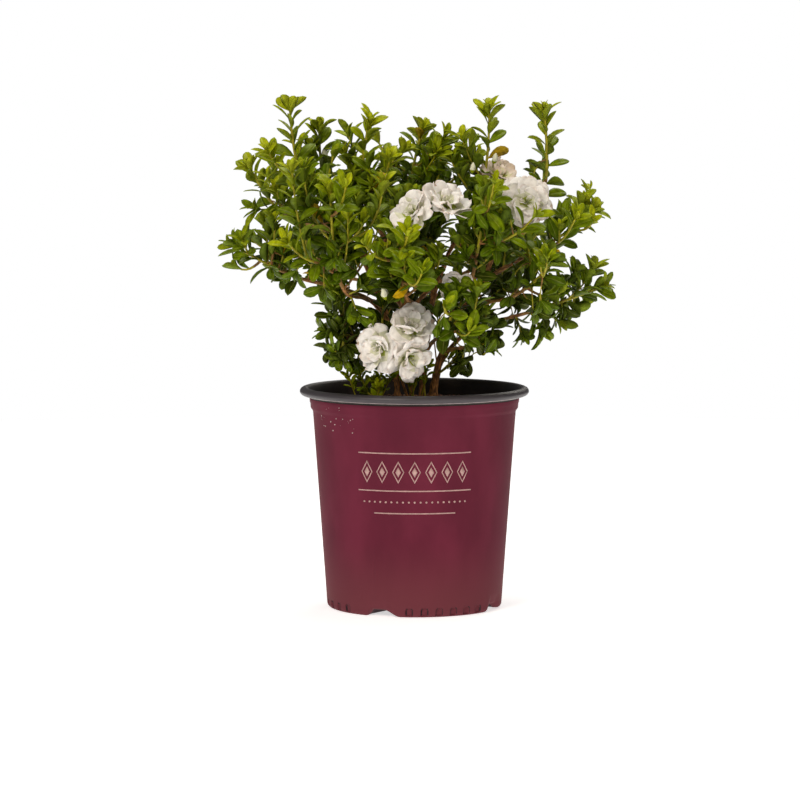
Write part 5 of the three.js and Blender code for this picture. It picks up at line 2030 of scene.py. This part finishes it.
class AzaleaStageSettings(bpy.types.PropertyGroup):
    """The floor and the camera."""

    camera_distance: length_property("Camera Distance", "From the camera to the pot's axis", 4.0, 1)
    camera_height: length_property("Camera Height", "Height of the camera over the floor", 0.58, 0)
    camera_pitch: FloatProperty(
        name="Camera Pitch",
        description="How far the camera looks down",
        default=math.radians(5.095),
        subtype="ANGLE",
    )
    camera_lens: FloatProperty(
        name="Camera Lens",
        description="Focal length on a 36 mm sensor, in millimetres",
        default=167.6,
        min=10,
    )
    floor_radius: length_property("Floor Radius", "Radius of the pale floor", 2.2, 1)


# Operators


class AZALEA_OT_pot(bpy.types.Operator):
    """Make the nursery pot, its printed ornament and the dried water spots on it"""

    bl_idname = "azalea.pot"
    bl_label = "Nursery Pot"
    bl_options = {"REGISTER", "UNDO"}

    def execute(self, context):
        settings = context.scene.azalea_pot
        place(pot_piece(pot_materials(settings)), "pot_plastic", ["pot"])
        place(print_piece(ink_material(settings.ink_colour[:])), "pot_plastic", ["pot"])
        place(spots_piece(lime_material()), "pot_plastic", ["pot"])
        return {"FINISHED"}


class AZALEA_OT_mix(bpy.types.Operator):
    """Make the bed of potting mix and the loose flakes of bark on it"""

    bl_idname = "azalea.mix"
    bl_label = "Potting Mix"
    bl_options = {"REGISTER", "UNDO"}

    def execute(self, context):
        settings = context.scene.azalea_pot
        bed_material, *flake_materials = mix_materials(settings.mix_colour[:], settings.fibre_colour[:])
        bed = bed_piece(bed_material)
        flakes = flakes_piece(bed, settings, flake_materials)
        place(bed, "potting_mix", ["potting_mix"])
        place(flakes, "potting_mix", ["potting_mix"])
        return {"FINISHED"}


class AZALEA_OT_limbs(bpy.types.Operator):
    """Make the stems and boughs, with the relief of their bark"""

    bl_idname = "azalea.limbs"
    bl_label = "Stems and Boughs"
    bl_options = {"REGISTER", "UNDO"}

    def execute(self, context):
        settings = context.scene.azalea_plant
        paths = [limb_path(limb) for limb in limbs().values()]
        piece = wood_piece("stems_and_boughs", paths, settings.limb_sides, settings.bark_relief, settings)
        place(piece, "bark", LIMB_NODES)
        return {"FINISHED"}


class AZALEA_OT_twigs(bpy.types.Operator):
    """Make the leaders, twigs, shoots and flower stalks of every mass of foliage"""

    bl_idname = "azalea.twigs"
    bl_label = "Twigs and Shoots"
    bl_options = {"REGISTER", "UNDO"}

    def execute(self, context):
        paths = [shoot_path(shoot) for shoot in grown(context).shoots + stalk_shoots()]
        piece = wood_piece("twigs_and_shoots", paths, TWIG_SIDES, 0, context.scene.azalea_plant)
        place(piece, "bark", FOLIAGE_NODES)
        return {"FINISHED"}


class AZALEA_OT_leaves(bpy.types.Operator):
    """Make the leaves, one piece for each tint"""

    bl_idname = "azalea.leaves"
    bl_label = "Leaves"
    bl_options = {"REGISTER", "UNDO"}

    def execute(self, context):
        plant = context.scene.azalea_plant
        tree = leaf_tree()
        patterns = [leaf_pattern(number) for number in range(BROAD_SHAPES + NARROW_SHAPES)]
        shapes = pattern_collection("leaf_shape", patterns)
        for tint in LEAF_TINTS:
            leaves = [leaf for leaf in grown(context).leaves if leaf.tint == tint]
            if leaves:
                materials = leaf_materials(tint, getattr(plant, f"{tint}_leaf_colour")[:])
                place(leaf_piece(tint, leaves, tree, shapes, materials), "foliage", FOLIAGE_NODES)
        drop_patterns(shapes)
        return {"FINISHED"}


class AZALEA_OT_blossom(bpy.types.Operator):
    """Make the white double blooms, the fading ones and the buds"""

    bl_idname = "azalea.blossom"
    bl_label = "Blossom"
    bl_options = {"REGISTER", "UNDO"}

    def execute(self, context):
        fresh = [bloom for bloom in BLOOMS if not bloom.faded]
        faded = [bloom for bloom in BLOOMS if bloom.faded]
        plant = context.scene.azalea_plant
        white = petal_materials("fresh", plant.petal_colour[:], plant.throat_colour[:])
        fading = petal_materials("faded", plant.faded_colour[:], plant.throat_colour[:])
        scales = leaf_materials("spring", plant.spring_leaf_colour[:])[UPPER_FACE]
        place(petal_piece("petals_white", fresh, white), "foliage", FOLIAGE_NODES)
        place(petal_piece("petals_fading", faded, fading), "foliage", FOLIAGE_NODES)
        place(stamens_piece(white[BASE]), "foliage", FOLIAGE_NODES)
        place(bud_piece((scales, white[BASE])), "foliage", FOLIAGE_NODES)
        return {"FINISHED"}


class AZALEA_OT_stage(bpy.types.Operator):
    """Set the pale floor, the soft studio lights and the camera"""

    bl_idname = "azalea.stage"
    bl_label = "Stage"
    bl_options = {"REGISTER", "UNDO"}

    def execute(self, context):
        scene = context.scene
        settings = scene.azalea_stage
        make_floor(settings.floor_radius)
        for light in LIGHTS:
            make_light(light)
        scene.world = make_world()
        scene.view_settings.view_transform = "Standard"
        lens = bpy.data.cameras.new("camera")
        lens.lens = settings.camera_lens
        lens.sensor_width = SENSOR_WIDTH
        lens.clip_end = 100
        camera = add_object("camera", lens)
        camera.location = (CAMERA_X * MM, -settings.camera_distance, settings.camera_height)
        camera.rotation_euler = (math.pi / 2 - settings.camera_pitch, 0, 0)
        scene.camera = camera
        return {"FINISHED"}


CAMERA_X = -15.5
SENSOR_WIDTH = 36
FLOOR_SIDES = 96
ROOM_LIGHT = 0.16
FLOOR_GLOW = 0.6
Light = namedtuple("Light", "name at aim size power colour")
LIGHTS = (
    Light("key_softbox", (-1.4, -2.4, 2.0), (0, 0, 0.4), 1.2, 52, "#fff8ee"),
    Light("fill_softbox", (2.0, -2.8, 1.0), (0, 0, 0.3), 1.6, 20, "#ffeedd"),
    Light("top_softbox", (0.2, 0.3, 2.6), (0, 0, 0.4), 1.2, 30, "#fffdf6"),
    Light("back_softbox", (0.9, 2.4, 2.0), (0, 0, 0.45), 1.4, 14, "#fffaf0"),
)


def make_world():
    """A white backdrop that the camera sees as paper white, and that lights the plant only dimly."""
    world = bpy.data.worlds.new("white_backdrop")
    world.use_nodes = True
    tree = world.node_tree
    seen = add_node(tree, "ShaderNodeLightPath").outputs["Is Camera Ray"]
    inputs = {0: seen, 1: 1 - ROOM_LIGHT, 2: ROOM_LIGHT}
    strength = add_node(tree, "ShaderNodeMath", {"operation": "MULTIPLY_ADD"}, inputs).outputs[0]
    background = tree.nodes["Background"]
    background.inputs["Color"].default_value = (1, 1, 1, 1)
    tree.links.new(strength, background.inputs["Strength"])
    return world


def make_floor(radius):
    """A wide round floor in pale matte paint, lit evenly from below as on a light table."""
    mesh = bpy.data.meshes.new("studio_floor")
    rim = [(x, y, 0) for x, y in disc(0, 0, radius, FLOOR_SIDES)]
    mesh.from_pydata(rim, [], [tuple(range(FLOOR_SIDES))])
    settings = {
        "Roughness": 0.9,
        "Specular IOR Level": 0.1,
        "Emission Color": (1, 1, 1, 1),
        "Emission Strength": FLOOR_GLOW,
    }
    paint, tree, shader = new_material("pale_matte_paint", settings)
    mottle(tree, shader, tones(linear("#f8f8f8"), 0.99, 1.01), 400.0)
    mesh.materials.append(paint)
    add_object("studio_floor", mesh)


def make_light(light):
    """One square softbox, aimed at a point."""
    lamp = bpy.data.lights.new(light.name, "AREA")
    lamp.size = light.size
    lamp.energy = light.power
    lamp.color = linear(light.colour)[:3]
    made = add_object(light.name, lamp)
    made.location = light.at
    aim = Vector(light.aim) - Vector(light.at)
    made.rotation_euler = aim.to_track_quat("-Z", "Y").to_euler()


STEPS = (
    AZALEA_OT_pot,
    AZALEA_OT_mix,
    AZALEA_OT_limbs,
    AZALEA_OT_twigs,
    AZALEA_OT_leaves,
    AZALEA_OT_blossom,
    AZALEA_OT_stage,
)


class AZALEA_PT_panel(bpy.types.Panel):
    """Lists the azalea's sizes, colours and pieces"""

    bl_idname = "AZALEA_PT_panel"
    bl_label = "Azalea"
    bl_space_type = "VIEW_3D"
    bl_region_type = "UI"
    bl_category = "Azalea"

    def draw(self, context):
        scene = context.scene
        for title, settings in (
            ("Pot", scene.azalea_pot),
            ("Plant", scene.azalea_plant),
            ("Stage", scene.azalea_stage),
        ):
            box = self.layout.box()
            box.label(text=title)
            for name in settings.__annotations__:
                box.prop(settings, name)
        for step in STEPS:
            self.layout.operator(step.bl_idname)


CLASSES = (AzaleaPotSettings, AzaleaPlantSettings, AzaleaStageSettings, *STEPS, AZALEA_PT_panel)


def register():
    for item in CLASSES:
        bpy.utils.register_class(item)
    bpy.types.Scene.azalea_pot = PointerProperty(type=AzaleaPotSettings)
    bpy.types.Scene.azalea_plant = PointerProperty(type=AzaleaPlantSettings)
    bpy.types.Scene.azalea_stage = PointerProperty(type=AzaleaStageSettings)


def unregister():
    del bpy.types.Scene.azalea_stage
    del bpy.types.Scene.azalea_plant
    del bpy.types.Scene.azalea_pot
    for item in reversed(CLASSES):
        bpy.utils.unregister_class(item)


def main():
    register()
    bpy.ops.azalea.pot()
    bpy.ops.azalea.mix()
    bpy.ops.azalea.limbs()
    bpy.ops.azalea.twigs()
    bpy.ops.azalea.leaves()
    bpy.ops.azalea.blossom()
    bpy.ops.azalea.stage()


if __name__ == "__main__":
    main()
